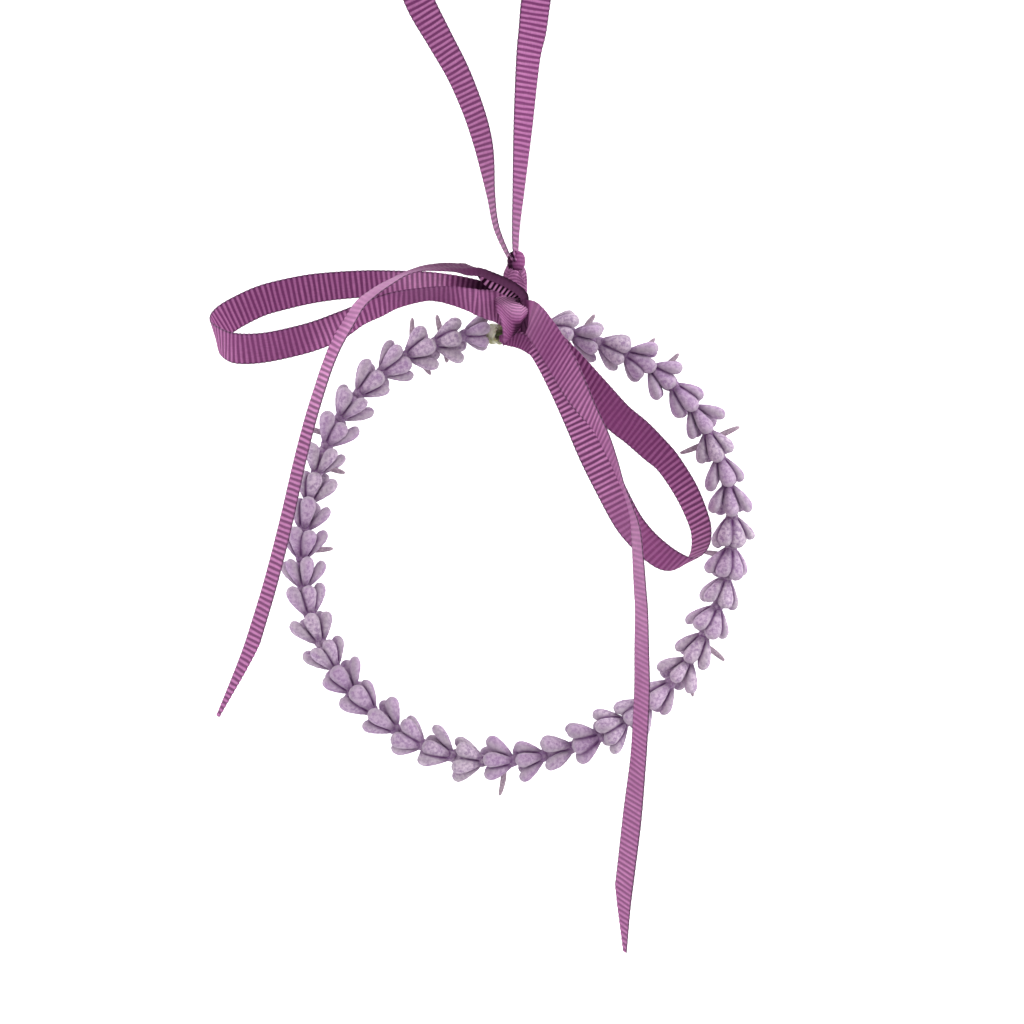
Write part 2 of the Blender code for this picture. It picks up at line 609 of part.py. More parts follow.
def main():
    clear_scene()
    wreath = make_collection("lavender_wreath")
    pieces = make_collection("pieces")
    flock = make_material("lavender_flock", FLOCK_COLOUR, FLOCK_ROUGHNESS)
    satin = make_material("ribbon", RIBBON_COLOUR, RIBBON_ROUGHNESS)
    wire = make_material("wire", WIRE_COLOUR, WIRE_ROUGHNESS)
    stem = make_material("stem", STEM_COLOUR, STEM_ROUGHNESS)
    draw = random.Random(SEED)
    build_wire(wreath, wire)
    for number, clock in enumerate(whorl_clocks(), start=1):
        build_whorl(number, clock, draw, wreath, pieces, flock)
    build_stem_end(wreath, pieces, stem)
    build_hanging_ribbon(wreath, pieces, satin)
    build_bow(wreath, pieces, satin)
    bpy.data.collections.remove(pieces)


main()
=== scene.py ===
"""Looks of the lavender wreath: flocked whorls on a wire ring, a grosgrain bow and a hanging ribbon."""

import math
import random

import bmesh
import bpy
import numpy as np
from mathutils import Matrix, Vector, noise


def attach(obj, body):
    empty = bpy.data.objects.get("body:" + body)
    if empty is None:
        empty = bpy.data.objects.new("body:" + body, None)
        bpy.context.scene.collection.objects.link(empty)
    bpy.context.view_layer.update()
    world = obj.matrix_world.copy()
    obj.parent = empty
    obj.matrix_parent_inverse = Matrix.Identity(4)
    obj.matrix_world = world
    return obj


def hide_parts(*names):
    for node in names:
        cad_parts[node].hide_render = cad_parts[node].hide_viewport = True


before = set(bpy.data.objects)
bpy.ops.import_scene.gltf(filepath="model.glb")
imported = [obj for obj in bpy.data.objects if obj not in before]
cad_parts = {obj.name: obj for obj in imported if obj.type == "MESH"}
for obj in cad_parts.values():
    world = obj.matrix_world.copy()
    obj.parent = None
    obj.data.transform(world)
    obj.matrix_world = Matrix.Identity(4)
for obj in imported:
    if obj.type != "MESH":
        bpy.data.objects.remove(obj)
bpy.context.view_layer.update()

MM = 0.001

# The same places and sizes as in the part's source
KNOT_CENTRE = Vector((5.8, 0.0, -105.7)) * MM
RING_CENTRE = KNOT_CENTRE + Vector((0.8, 0.0, -45.8)) * MM
RING_RADII = [45.6, 44.3, 45.2, 44.0, 41.8, 40.7, 41.2, 43.1, 43.2, 43.2, 42.4, 44.1, 43.9, 41.2]
RADII_FIRST_CLOCK = -15.0
RADII_STEP = 30.0
CLOCK_NUDGE = 0.5
KEY_WHORLS = {1: 11.0, 10: 76.6, 20: 159.8, 27: 217.4, 35: 278.8, 44: 349.8}
STEM_END_CLOCK = 354.8
SPLAY_DEGREES = (21.0, 38.0)
BUD_COUNTS = (5, 5, 5, 6)
BUD_SCALES = (0.92, 1.04)
BUD_JITTER = 0.05
FRONT_GAP_WHORLS = {2, 3, 11, 12, 13, 14, 19, 21, 24, 26, 30, 32, 33, 34, 37, 38, 39, 41, 44}
ROLL_JITTER = math.radians(9.0)
BRACT_HEIGHT = -1.0
# Turn round the wire and splay from it, in degrees, and length in millimetres
BRACTS = {
    2: ((90, 76, 4.6),), 4: ((80, 62, 5.2),), 5: ((95, 72, 5.0),), 8: ((90, 92, 5.4), (-90, 84, 6.0)),
    12: ((-90, 90, 4.6),), 15: ((90, 88, 5.4),), 16: ((100, 60, 5.6),), 23: ((90, 88, 6.2),),
    34: ((-90, 86, 5.4),), 37: ((-90, 90, 4.6),), 38: ((90, 90, 5.0),),
    42: ((90, 70, 6.2), (-90, 76, 4.8)), 43: ((90, 88, 4.6), (-90, 88, 3.6)),
}

SEED = 11

# Lengths in millimetres for the whorls, which are modelled at a thousand times their size
SLEEVE_FOOT = -3.6
SLEEVE_TOP = 2.6
SLEEVE_RADII = ((0.0, 0.9), (0.12, 1.25), (0.45, 1.45), (0.8, 1.3), (1.0, 0.7))
SLEEVE_SIDES = 28
SLEEVE_ROWS = 20
BUD_LENGTH = 6.5
BUD_WIDTH = 3.2
BUD_THICKNESS = 2.35
BUD_ROOT_WIDTH = 0.6
BUD_TIP_WIDTH = 1.2
BUD_ROOT_RADIUS = 0.75
BUD_ROOT_HEIGHT = -2.75
LAST_WHORL_SHORTER = 0.86
BUD_FULLNESS = 0.08
BUD_BEND = 0.35
BUD_SIDES = 32
BUD_ROWS = 24
# Lowest and highest share that a bud's length, width, thickness and bend are drawn with, and its twist
BUD_LENGTH_DRAW = (0.94, 1.06)
BUD_WIDTH_DRAW = (0.93, 1.1)
BUD_THICKNESS_DRAW = (0.9, 1.1)
BUD_BEND_DRAW = (0.0, 1.8)
BUD_TWIST_DRAW = (-0.4, 0.4)
BUD_TIP_SWELL = 0.1
BUD_POLAR_RANGE = (0.06, 0.985)
# The painted grey sheen on a bud's side rims falls off by this power
RIM_SHEEN_POWER = 3
# A bud's nearness fades from its surface outwards, in shares of its radius
NEARNESS_RANGE = (1.5, 1.0)
NEARNESS_ALONG = (0.02, 0.98)
# Painted shade in the creases: on the sleeve a base and a share beside the buds, on a bud a share beside other
# buds and towards its root
SLEEVE_CREASE_SHADES = (0.35, 0.5)
BUD_CREASE_SHADES = (0.85, 0.5)
ROOT_SHADE_RANGE = (0.35, 0.1)
# Share of a bud's length over which the painted sheen grows towards its tip
TIP_SHEEN_RANGE = (0.86, 1.0)
TONE_DRAW = (0.0, 0.45)
# Buds that face the front or the back lie closer to the wire than those at the sides
FRONT_SPLAY_SHARE = 0.62
SIDE_SPLAY_SHARE = 1.1
MOTTLE_SIZE = 0.55
MOTTLE_DEPTH = 0.07
FLOCK_SIZE = 0.24
FLOCK_DEPTH = 0.04
NOISE_STEPS = (7.3, 3.1, 1.7)
BRACT_SIDES = 8
BRACT_ROWS = 12
BRACT_RADIUS = 0.46
BRACT_BEND_DRAW = (-0.9, 0.9)
BRACT_FLAT_DRAW = (0.45, 0.75)
# A bract's radius at its root, how much its middle adds, what its length takes off, and its blunt last row
BRACT_SWELL = (0.8, 0.5, 0.1, 0.6)
STUB_SIDES = 40
STUB_TILT = math.radians(38.0)
# Heights and radii of the cut stem's outer and inner wall; the rows round its rim are torn
STUB_OUTER = ((-2.0, 1.3), (-1.6, 1.9), (-0.9, 2.15), (-0.2, 2.0), (0.3, 1.9), (0.8, 2.1), (1.0, 1.9))
STUB_INNER = ((0.9, 1.5), (0.3, 1.25), (-0.4, 1.15), (-1.6, 1.05))
STUB_RIM_ROWS = range(4, 8)
# Depth and pace of its uneven wall and of its torn rim
STUB_WALL_NOISE = (0.16, 1.7)
STUB_TEAR_NOISE = (0.55, 2.6)
STUB_TEAR_SEED = 4.0

RIBBON_WIDTH = 6.35 * MM
RIB_PITCH = 1.06 * MM
KNOT_PITCH = 0.66 * MM
# How many extra ribs are drawn in near the knot, and over what distance
GATHER = 1.6
GATHER_REACH = 9.0 * MM
ROWS_PER_RIB = 6
GROOVE_HALF_THICKNESS = 0.08 * MM
RIB_RELIEF = 0.14 * MM
SELVAGE_START = 0.86
SELVAGE_SCALLOP = 0.06 * MM
RIB_WANDER = 0.1 * MM
COLUMNS = (-1.0, -0.96, -0.91, -0.86, -0.6, -0.3, 0.0, 0.3, 0.6, 0.86, 0.91, 0.96, 1.0)
ROUTE_STEP = 0.04
CREST_RANGE = (0.3, 0.95)
SELVAGE_FULL = 0.95
EDGE_COLUMN = 0.99
EDGE_THICKNESS_SHARE = 0.35
SELVAGE_RELIEF_LOSS = 0.55
FAINT_RELIEF_SHARE = 0.35
# The dotted selvages fade where the ribbon is gathered: distances in millimetres, and what is left
SELVAGE_FADE_RANGE = (8.0, 26.0)
SELVAGE_LEFT = 0.25
# Weight of each sine that shifts the ribs, and its pace along the ribbon, with the seed and across
WANDER_SINES = ((1.0, 0.55, 1.7, 1.1), (0.6, 1.3, 2.9, -2.3), (0.4, 2.9, 0.6, 3.7))
TAIL_CUTS = {"left": 17.0 * MM, "right": 12.4 * MM}
TIP_WIDTH = 1.2 * MM
ARCH_CREASE = 0.6 * MM
ARCH_LIFT = 1.1 * MM
ARCH_FRONT_DROP = math.radians(72.0)
ARCH_BACK_DROP = math.radians(52.0)
ARCH_ROLL = math.radians(33.0)
# Distances from the knot in millimetres over which the tail's arch is bent, rolled, raised and shaded
ARCH_FRONT_RANGE = (23.0, 9.0)
ARCH_BACK_RANGE = (16.0, 8.0)
ARCH_ROLL_RANGE = (31.0, 19.0)
ARCH_LIFT_RANGE = (17.0, 12.0)
ARCH_SHADE_RANGE = (15.0, 9.0)
ARCH_CREASE_RADIUS = 0.3 * MM
ARCH_ROLL_DROP = 0.6 * MM
# Painted rib contrast, and painted light and shade, along the left tail by distance from the knot in
# millimetres
ARCH_CONTRASTS = ((0.0, 0.05), (36.0, 0.05), (46.0, 0.6), (54.0, 0.9), (80.0, 0.75))
ARCH_SHADES = (
    (0.0, 0.26), (12.0, 0.26), (20.0, 0.36), (26.0, 0.62), (31.0, 1.35), (40.0, 1.48), (52.0, 1.38),
    (66.0, 1.0),
)
# Across the arch: its inner face in painted shade, the painted shade of the strip beside the crease, and the
# painted light on the tips of the inner crests
ARCH_INNER_RANGE = (0.2, 0.0)
ARCH_INNER_CONTRAST = 0.8
ARCH_UNDER_RANGE = (0.75, 0.25)
ARCH_UNDER_LOSS = 0.8
ARCH_TIP_CRESTS = (0.45, 0.85)
ARCH_TIP_RANGE = (-0.25, -0.7)
ARCH_TIP_SHADES = (0.1, 1.9)

LEFT_LOOP = [
    (-1.2, -4.6, 1.8, 8, 6), (-3.0, -5.8, 2.4, 8, 12), (-4.7, -6.5, 2.7, 6, 26), (-6.6, -7.1, 3.1, 4, 42),
    (-8.3, -7.7, 3.6, 2, 48), (-12.3, -8.7, 4.5, -2, 59), (-16.2, -9.8, 4.8, -4, 68),
    (-22.1, -11.3, 3.7, -8, 62), (-26.1, -12.3, 2.2, -12, 53), (-30.0, -13.0, 0.5, -14, 50),
    (-33.9, -13.6, -1.6, -16, 35), (-37.9, -13.9, -3.3, -17, 29), (-41.8, -14.0, -4.5, -17, 26),
    (-47.7, -13.8, -5.8, -14, 24), (-52.1, -13.1, -6.2, -12, 17), (-55.3, -11.7, -5.9, -13, 9),
    (-57.6, -9.3, -4.8, -15, 4), (-58.9, -6.4, -3.5, -16, 0), (-58.8, -3.6, -1.9, -16, 2),
    (-57.3, -1.2, 0.0, -16, 7), (-54.4, 0.6, 1.9, -15, 14), (-50.5, 1.7, 3.8, -15, 18),
    (-46.5, 2.2, 5.0, -15, 19), (-40.5, 2.4, 6.3, -14, 24), (-34.5, 2.2, 7.0, -11, 30),
    (-28.4, 1.6, 7.3, -9, 32), (-22.4, 0.5, 7.1, -6, 30), (-16.4, -0.8, 6.7, -3, 26),
    (-10.4, -2.1, 5.7, 0, 21), (-5.4, -3.0, 4.3, 4, 14), (-1.6, -3.6, 2.7, 6, 6),
]
RIGHT_LOOP = [
    (1.8, -3.9, 0.2, 50, 6), (4.2, -4.4, -2.0, 48, 6), (7.6, -5.0, -5.2, 46, 6), (11.5, -5.1, -9.1, 45, 10),
    (16.2, -4.5, -14.2, 45, 12), (21.0, -3.5, -19.4, 45, 12), (24.8, -2.9, -22.5, 47, 17),
    (28.1, -2.6, -25.6, 50, 26), (31.1, -2.8, -28.6, 54, 38), (34.7, -3.4, -34.2, 60, 42),
    (37.1, -4.4, -39.8, 66, 48), (37.7, -5.3, -43.0, 68, 50), (37.3, -6.6, -45.8, 66, 50),
    (35.8, -8.4, -47.8, 62, 46), (33.6, -10.0, -48.6, 58, 40), (30.9, -11.2, -47.9, 52, 34),
    (28.1, -12.0, -46.0, 50, 32), (25.3, -12.5, -43.3, 52, 32), (22.5, -12.7, -39.6, 58, 28),
    (19.0, -12.7, -32.9, 60, 24), (16.0, -12.2, -26.7, 61, 21), (12.9, -11.3, -19.4, 62, 21),
    (9.9, -10.0, -12.7, 62, 21), (7.1, -8.4, -7.1, 62, 19), (4.8, -7.0, -3.6, 64, 14),
    (2.2, -5.8, -1.2, 66, 9),
]
LEFT_TAIL = [
    (1.4, -5.6, 2.6, 35, 64), (2.2, -6.2, 3.9, 20, 70), (1.2, -6.9, 5.3, 10, 74), (-0.8, -7.8, 6.6, 4, 75),
    (-4.0, -9.2, 8.0, 0, 75), (-7.5, -10.8, 9.4, -4, 76), (-11.3, -12.2, 10.0, -8, 77),
    (-15.0, -13.6, 9.8, -10, 82), (-18.1, -14.8, 9.4, -10, 88), (-21.1, -16.0, 8.4, 150, 83),
    (-24.0, -17.0, 6.8, 140, 77), (-26.9, -17.8, 4.9, 134, 73), (-29.8, -18.4, 2.4, 128, 69),
    (-32.1, -18.8, -1.3, 118, 66), (-34.5, -18.8, -5.6, 110, 66), (-36.1, -18.6, -9.4, 108, 67),
    (-37.5, -18.3, -13.5, 106, 67), (-39.6, -17.8, -20.3, 103, 66), (-41.8, -17.2, -28.8, 104, 65),
    (-44.3, -16.5, -39.8, 105, 63), (-47.2, -15.8, -51.2, 106, 62), (-49.9, -15.2, -60.3, 108, 61),
    (-52.3, -14.7, -67.6, 109, 60), (-57.0, -14.0, -79.4, 110, 60),
]
RIGHT_TAIL = [
    (1.4, -6.6, 0.5, 60, 24), (3.6, -7.6, 0.3, 62, 26), (5.9, -8.7, -2.5, 64, 24),
    (8.1, -10.0, -5.9, 64, 24), (10.7, -11.9, -10.5, 66, 28), (13.4, -13.6, -15.5, 66, 44),
    (16.5, -15.0, -20.5, 64, 65), (18.6, -16.3, -24.8, 66, 71), (20.4, -17.3, -29.2, 68, 79),
    (21.7, -18.0, -33.1, 70, 84), (23.3, -18.3, -37.6, 76, 82), (24.3, -18.3, -41.9, 84, 75),
    (24.8, -17.7, -47.8, 88, 71), (25.2, -16.7, -53.7, 88, 69), (25.5, -15.9, -57.9, 90, 68),
    (25.6, -14.0, -65.6, 91, 65), (25.7, -11.8, -73.2, 92, 63), (25.4, -9.3, -81.6, 94, 63),
    (25.0, -7.0, -88.4, 96, 62), (24.0, -3.7, -98.8, 97, 56), (22.9, -0.6, -109.0, 97, 57),
    (22.0, 2.0, -117.2, 97, 58), (21.3, 4.8, -125.8, 97, 58),
]
HANGING_LOOP = [
    (0.2, -0.2, 11.6, 60, 86), (-1.2, -0.2, 13.8, 60, 84), (-3.2, -0.2, 18.8, 60, 80),
    (-4.2, -0.1, 25.0, 62, 74), (-5.1, 0.0, 31.6, 66, 59), (-6.1, 0.0, 36.6, 67, 51),
    (-7.9, 0.0, 42.4, 67, 47), (-10.9, 0.0, 49.6, 66, 42), (-14.7, 0.0, 56.6, 66, 34),
    (-18.6, 0.0, 64.0, 67, 22), (-21.7, 0.0, 73.0, 76, 24), (-23.2, 0.0, 82.0, 88, 44),
    (-22.4, 0.0, 91.0, 104, 68), (-19.0, 0.0, 98.6, 120, 80), (-13.0, 0.0, 104.0, 150, 88),
    (-5.8, 0.0, 106.0, 180, 90), (1.0, 0.0, 104.0, -150, 88), (5.4, 0.0, 98.0, -120, 80),
    (7.2, 0.0, 90.0, -100, 66), (7.1, 0.0, 81.0, -92, 44), (6.1, 0.0, 72.0, -86, 26),
    (4.8, 0.0, 64.0, -83, 21), (4.1, 0.0, 58.0, -83, 28), (3.2, 0.0, 52.0, -83, 41),
    (2.2, 0.0, 38.8, -81, 53), (1.3, 0.0, 26.0, -80, 68), (0.8, -0.1, 18.8, -80, 76),
    (0.7, -0.2, 13.8, -80, 80), (1.0, -0.2, 11.6, -80, 86),
]
# Short stretches that only the finished looks need. A sixth value is the gathered width in millimetres.
KNOT_WRAP = [
    (-0.1, -3.4, 4.2, 98, 0, 5.4), (-0.2, -5.6, 4.2, 98, 0, 6.0), (-0.2, -7.4, 3.2, 97, 0, 6.4),
    (-0.1, -8.5, 1.6, 92, 0, 6.6), (-0.1, -8.8, -0.2, 84, 0, 6.4), (-0.1, -8.3, -1.8, 70, 0, 5.6),
    (-0.3, -7.2, -3.1, 60, 0, 4.4), (-0.5, -5.8, -4.0, 56, 0, 3.3), (-0.6, -4.0, -4.2, 54, 0, 2.6),
]
KNOT_TUCK = [
    (5.6, -7.0, -7.6, 50, 12, 1.6), (4.0, -7.0, -6.0, 44, 8, 2.6), (2.6, -6.8, -4.9, 34, 6, 3.0),
    (1.1, -6.4, -4.3, 18, 2, 3.0), (-0.3, -6.0, -4.1, 4, 0, 2.8), (-1.6, -5.6, -4.0, -10, 0, 2.2),
    (-2.4, -5.0, -3.9, -16, 0, 1.2),
]
KNOT_LOBE = [
    (1.8, -4.0, 2.2, -10, 0, 1.4), (2.8, -5.3, 2.5, 4, 4, 2.2), (3.9, -6.2, 2.2, 26, 12, 2.9),
    (4.8, -6.4, 1.1, 48, 18, 3.3), (5.2, -5.9, -0.4, 60, 22, 3.3), (5.5, -4.9, -2.2, 66, 20, 2.8),
]
NECK = [
    (0.6, -0.3, 11.2, 90, 0, 2.4), (0.6, -0.9, 10.2, 90, 0, 2.8), (0.5, -1.1, 9.2, 90, 0, 4.3),
    (0.4, -1.1, 8.2, 90, 0, 4.9), (0.5, -1.0, 6.0, 90, 0, 4.9), (0.6, -0.9, 3.0, 90, 0, 4.9),
    (0.6, -1.7, 0.4, 90, 0, 4.9), (0.6, -2.2, -2.2, 90, 0, 4.9), (0.6, -1.3, -4.3, 90, 0, 4.9),
    (0.6, 0.4, -4.5, 90, 0, 4.9), (0.6, 2.0, -2.6, 90, 0, 4.9), (0.6, 1.5, 0.3, 90, 0, 4.9),
    (0.6, 0.6, 3.0, 90, 0, 4.9), (0.6, 0.6, 6.0, 90, 0, 4.9), (0.6, 0.7, 8.2, 90, 0, 4.6),
    (0.6, 0.5, 9.8, 90, 0, 3.2), (0.6, 0.1, 11.0, 90, 0, 2.6),
]
STRAP = [
    (-2.2, -4.0, 2.4, 0, 0, 2.2), (-3.3, -2.2, 2.4, 0, 0, 2.2), (-3.2, 0.0, 2.4, 0, 0, 2.2),
    (-2.3, 1.6, 2.5, 0, 0, 2.2), (0.6, 1.9, 2.5, 0, 0, 2.2), (3.6, 1.6, 2.5, 0, 0, 2.2),
    (4.6, 0.0, 2.3, 0, 0, 2.2), (4.5, -2.2, 2.1, 0, 0, 2.2), (2.6, -4.0, 2.0, 0, 0, 2.2),
]
# The small overhand knot, in millimetres from the bow's knot
BEAD_CENTRE = (0.85, -0.3, 11.75)
BEAD_RADII = (1.7, 1.7, 2.05)
BEAD_SIDES = 48
BEAD_ROWS = 40
BEAD_POLAR_RANGE = (0.02, 0.96)
BEAD_SHOULDER_POWER = 0.62
# The fold down the left of its face: direction, how far it swings, its width and its depth
BEAD_FOLD_PLACE = math.radians(232.0)
BEAD_FOLD_SWING = 0.35
BEAD_FOLD_WIDTH = 0.28
BEAD_FOLD_DEPTH = 0.24
BEAD_RIB_PITCH = 0.8
BEAD_RIB_WAVE = 2.0
BEAD_RIB_RELIEF = 0.03
BEAD_UNEVENNESS = 0.06
# Painted rib contrast on its face
BEAD_CONTRAST = 0.3
# Painted light on its face, the painted shade of its left side and fold, and the painted shade of its
# underside
BEAD_SHADE = (0.92, 0.72, 0.5)
BEAD_LEFT_RANGE = (-0.1, -0.7)
BEAD_UNDER_RANGE = (-0.3, -0.9)
BEAD_DARKEST = 0.12

# Distance along a ribbon in millimetres, painted rib contrast there (it also sets rib height), and painted
# light and shade
LEFT_LOOP_LOOKS = (
    (0.0, 0.6, 1.1), (9.0, 0.6, 1.08), (13.0, 0.35, 0.8), (20.0, 0.35, 0.78), (26.0, 0.6, 0.93),
    (33.0, 0.7, 1.06), (38.0, 0.7, 1.1), (46.0, 0.4, 0.98), (54.0, 0.4, 0.98), (60.0, 0.7, 1.05),
    (68.0, 0.7, 1.02), (78.0, 0.55, 0.95), (104.0, 0.6, 1.0), (112.0, 0.75, 1.35), (118.0, 0.75, 1.25),
    (121.5, 0.6, 0.5), (124.5, 0.4, 0.12), (128.0, 0.3, 0.08),
)
RIGHT_LOOP_LOOKS = (
    (0.0, 0.4, 0.6), (6.0, 0.5, 0.72), (16.0, 0.6, 0.8), (26.0, 0.2, 0.87), (36.0, 0.3, 0.93),
    (48.0, 0.8, 1.02), (56.0, 0.9, 1.05), (63.0, 0.5, 1.0), (68.0, 0.3, 1.0), (80.0, 0.3, 1.14),
    (92.0, 1.0, 1.12), (130.0, 1.0, 1.05), (140.0, 0.8, 0.9),
)
RIGHT_TAIL_LOOKS = (
    (0.0, 0.4, 0.2), (1.6, 0.4, 0.3), (2.6, 0.4, 1.35), (6.0, 0.35, 1.1), (10.0, 0.4, 1.0),
    (16.0, 0.65, 1.08), (26.0, 0.75, 1.18), (38.0, 0.3, 1.22), (60.0, 0.3, 1.32), (90.0, 0.45, 1.22),
    (130.0, 0.6, 1.15),
)
HANGING_LOOKS = ((0.0, 0.6, 1.0), (30.0, 0.7, 0.95), (105.0, 0.7, 1.0), (150.0, 0.7, 1.02), (210.0, 0.5, 0.9))
SHADOWED_LOOKS = ((0.0, 0.35, 0.8),)
LOBE_LOOKS = ((0.0, 0.75, 2.0),)
NECK_LOOKS = ((0.0, 0.5, 1.3),)
# How far the ribs lean along the ribbon, at a few distances from the knot in millimetres
LEFT_SLANTS = ((0.0, 0.2), (4.0, 0.4), (11.0, 0.4), (17.0, 0.2), (24.0, 0.0))
RIGHT_SLANTS = ((0.0, -0.1), (5.0, -0.35), (14.0, -0.4), (24.0, -0.2), (38.0, 0.0))
NO_SLANTS = ((0.0, 0.0),)

# The knot's ribs fall by so much at its left and hook up at its right, over these shares of its width
KNOT_LEFT_FALL = 2.9 * MM
KNOT_LEFT_RANGE = (0.25, -1.0)
KNOT_LEFT_POWER = 1.2
KNOT_RIGHT_HOOK = 1.2 * MM
KNOT_RIGHT_RANGE = (0.55, 1.0)
# Down the knot's face in millimetres: where its painted shade begins, and where the painted shadow of the slot
# begins at its right
KNOT_LOW_RANGE = (5.5, 8.5)
KNOT_SHADOW_RANGE = (8.0, 9.4)
KNOT_SHADOW_SIDE = (-0.1, 0.4)
# Painted rib contrast and what the lower part loses of it; painted light, and the painted shade of the lower
# part and of the slot
KNOT_CONTRAST = (0.8, 0.5)
KNOT_SHADE = (1.7, 0.6, 0.95)
KNOT_EDGING = 0.25
PILLOW_ROUNDNESS = 0.09
NECK_BOW = 1.3 * MM
NECK_FOLD_DEPTH = 0.3 * MM
NECK_FOLD_PACE = 3.0
NECK_DRAWN_IN = ((0.2, 0.0), (0.8, 1.0))

CAMERA_PLACE = Vector((5.8, -1000.0, -144.1)) * MM
CAMERA_LENS = 175.8
CAMERA_SENSOR = 36.0
CAMERA_CLIP = (0.05, 20.0)
FLOOR_HEIGHT = -0.62
WALL_DISTANCE = 2.0
WALL_TOP = 4.5
SWEEP_RADIUS = 0.12
STAGE_HALF_WIDTH = 6.4
FLOOR_FRONT = -2.5
SWEEP_STEPS = 8
WALL_GLOW = 1.0
WHITE = (1.0, 1.0, 1.0, 1.0)
FLOOR_COLOUR = (0.85, 0.85, 0.85, 1.0)
WALL_COLOUR = (0.9, 0.9, 0.9, 1.0)
WORLD_STRENGTH = 0.16
LIGHT_TARGET = (0.0, 0.0, -0.13)
# Place and size in metres, and power in watts
LIGHTS = {
    "left_box": ((-0.75, -0.15, 0.05), (0.7, 0.9), 4.9),
    "right_box": ((0.8, -0.25, 0.2), (0.7, 0.9), 8.0),
    "top_box": ((0.0, -0.15, 0.75), (1.0, 0.7), 4.0),
    "front_fill": ((0.1, -1.3, 0.25), (0.8, 0.8), 4.2),
}


def srgb(red, green, blue):
    """A linear colour from 8-bit display values."""
    values = []
    for value in (red, green, blue):
        c = value / 255.0
        values.append(c / 12.92 if c <= 0.04045 else ((c + 0.055) / 1.055) ** 2.4)
    return (*values, 1.0)


# Groove colour is painted shade and crest colour painted light; the middle colour is the ribbon's own; the
# pale colour is a painted highlight
RIB_GROOVE_SHADE = srgb(96, 28, 84)
RIB_CREST_LIGHT = srgb(206, 130, 187)
RIB_MIDDLE = srgb(137, 67, 122)
RIBBON_HIGHLIGHT = srgb(236, 206, 228)
RIBBON_PATCH = srgb(132, 60, 118)
SELVAGE_GROOVE = srgb(58, 26, 54)
SELVAGE_CREST = srgb(128, 84, 122)
RIBBON_SPECULAR = 0.2
RIBBON_SHEEN = 0.06
RIBBON_VALUES = {"Roughness": 0.55, "Sheen Roughness": 0.4, "Sheen Tint": srgb(235, 190, 225)}
# Noise scales, and how far the threads are drawn out along the ribbon
THREAD_SCALE = 3.4
THREAD_STRETCH = 0.25
PATCH_SCALE = 240.0
THREAD_TINTS = (0.88, 1.1)
HIGHLIGHT_STRENGTH = 0.4
PATCH_STRENGTH = 0.25
SELVAGE_STRENGTH = 0.85

FLOCK_DARK = srgb(156, 126, 164)
FLOCK_LIGHT = srgb(214, 194, 212)
FLOCK_SPECK = srgb(226, 212, 224)
FLOCK_TONE = srgb(172, 130, 182)
FLOCK_RIM_SHEEN = srgb(176, 164, 174)
FLOCK_CREASE_SHADE = srgb(108, 66, 116)
FLOCK_VALUES = {
    "Roughness": 0.95,
    "Specular IOR Level": 0.1,
    "Sheen Weight": 0.35,
    "Sheen Roughness": 0.5,
    "Sheen Tint": srgb(225, 215, 232),
}
MOTTLE_SCALE = 1500.0
SPECK_SCALE = 4600.0
SPECK_STRENGTH = 0.45
RIM_SHEEN_STRENGTH = 0.6

# Noise scale and range, dark and light tone, depth and strength of the grain, and other shader values
TWO_TONES = {
    "dry_bract": (
        2500.0, (0.3, 0.7), srgb(142, 118, 138), srgb(190, 168, 182), 0.08 * MM, 0.5,
        {"Roughness": 0.9, "Sheen Weight": 0.2},
    ),
    "coated_wire": (
        1400.0, (0.3, 0.7), srgb(70, 84, 48), srgb(104, 118, 70), 0.05 * MM, 0.4, {"Roughness": 0.5},
    ),
    "stem_end": (
        900.0, (0.35, 0.65), srgb(150, 150, 104), srgb(226, 226, 204), 0.1 * MM, 0.5,
        {
            "Roughness": 0.45,
            "Subsurface Weight": 0.3,
            "Subsurface Radius": (0.002, 0.0018, 0.001),
            "Subsurface Scale": 0.5,
        },
    ),
}


def make_camera():
    data = bpy.data.cameras.new("camera")
    data.lens = CAMERA_LENS
    data.sensor_width = CAMERA_SENSOR
    data.clip_start, data.clip_end = CAMERA_CLIP
    camera = bpy.data.objects.new("camera", data)
    camera.location = CAMERA_PLACE
    camera.rotation_euler = (math.radians(90.0), 0.0, 0.0)
    bpy.context.scene.collection.objects.link(camera)
    bpy.context.scene.camera = camera


def catmull_rom(before, start, end, after, t):
    """A smooth value between start and end, for numbers and vectors alike."""
    return 0.5 * (
        2.0 * start
        + (end - before) * t
        + (2.0 * before - 5.0 * start + 4.0 * end - after) * t * t
        + (3.0 * start - before - 3.0 * end + after) * t * t * t
    )


def unit(vectors):
    return vectors / np.linalg.norm(vectors, axis=1, keepdims=True)


def across_direction(lean, turn):
    lean = math.radians(lean)
    turn = math.radians(turn)
    return (math.sin(lean) * math.cos(turn), -math.sin(turn), math.cos(lean) * math.cos(turn))


def gathered_phase(distance, pitch, gathers):
    """Ribs passed at a distance along a ribbon; they stand closer near an end that is gathered."""
    at_start, at_end = gathers
    drawn = at_start * (1.0 - np.exp(-distance / GATHER_REACH))
    drawn += at_end * (np.exp((distance - distance[-1]) / GATHER_REACH) - np.exp(-distance[-1] / GATHER_REACH))
    return distance / pitch + drawn


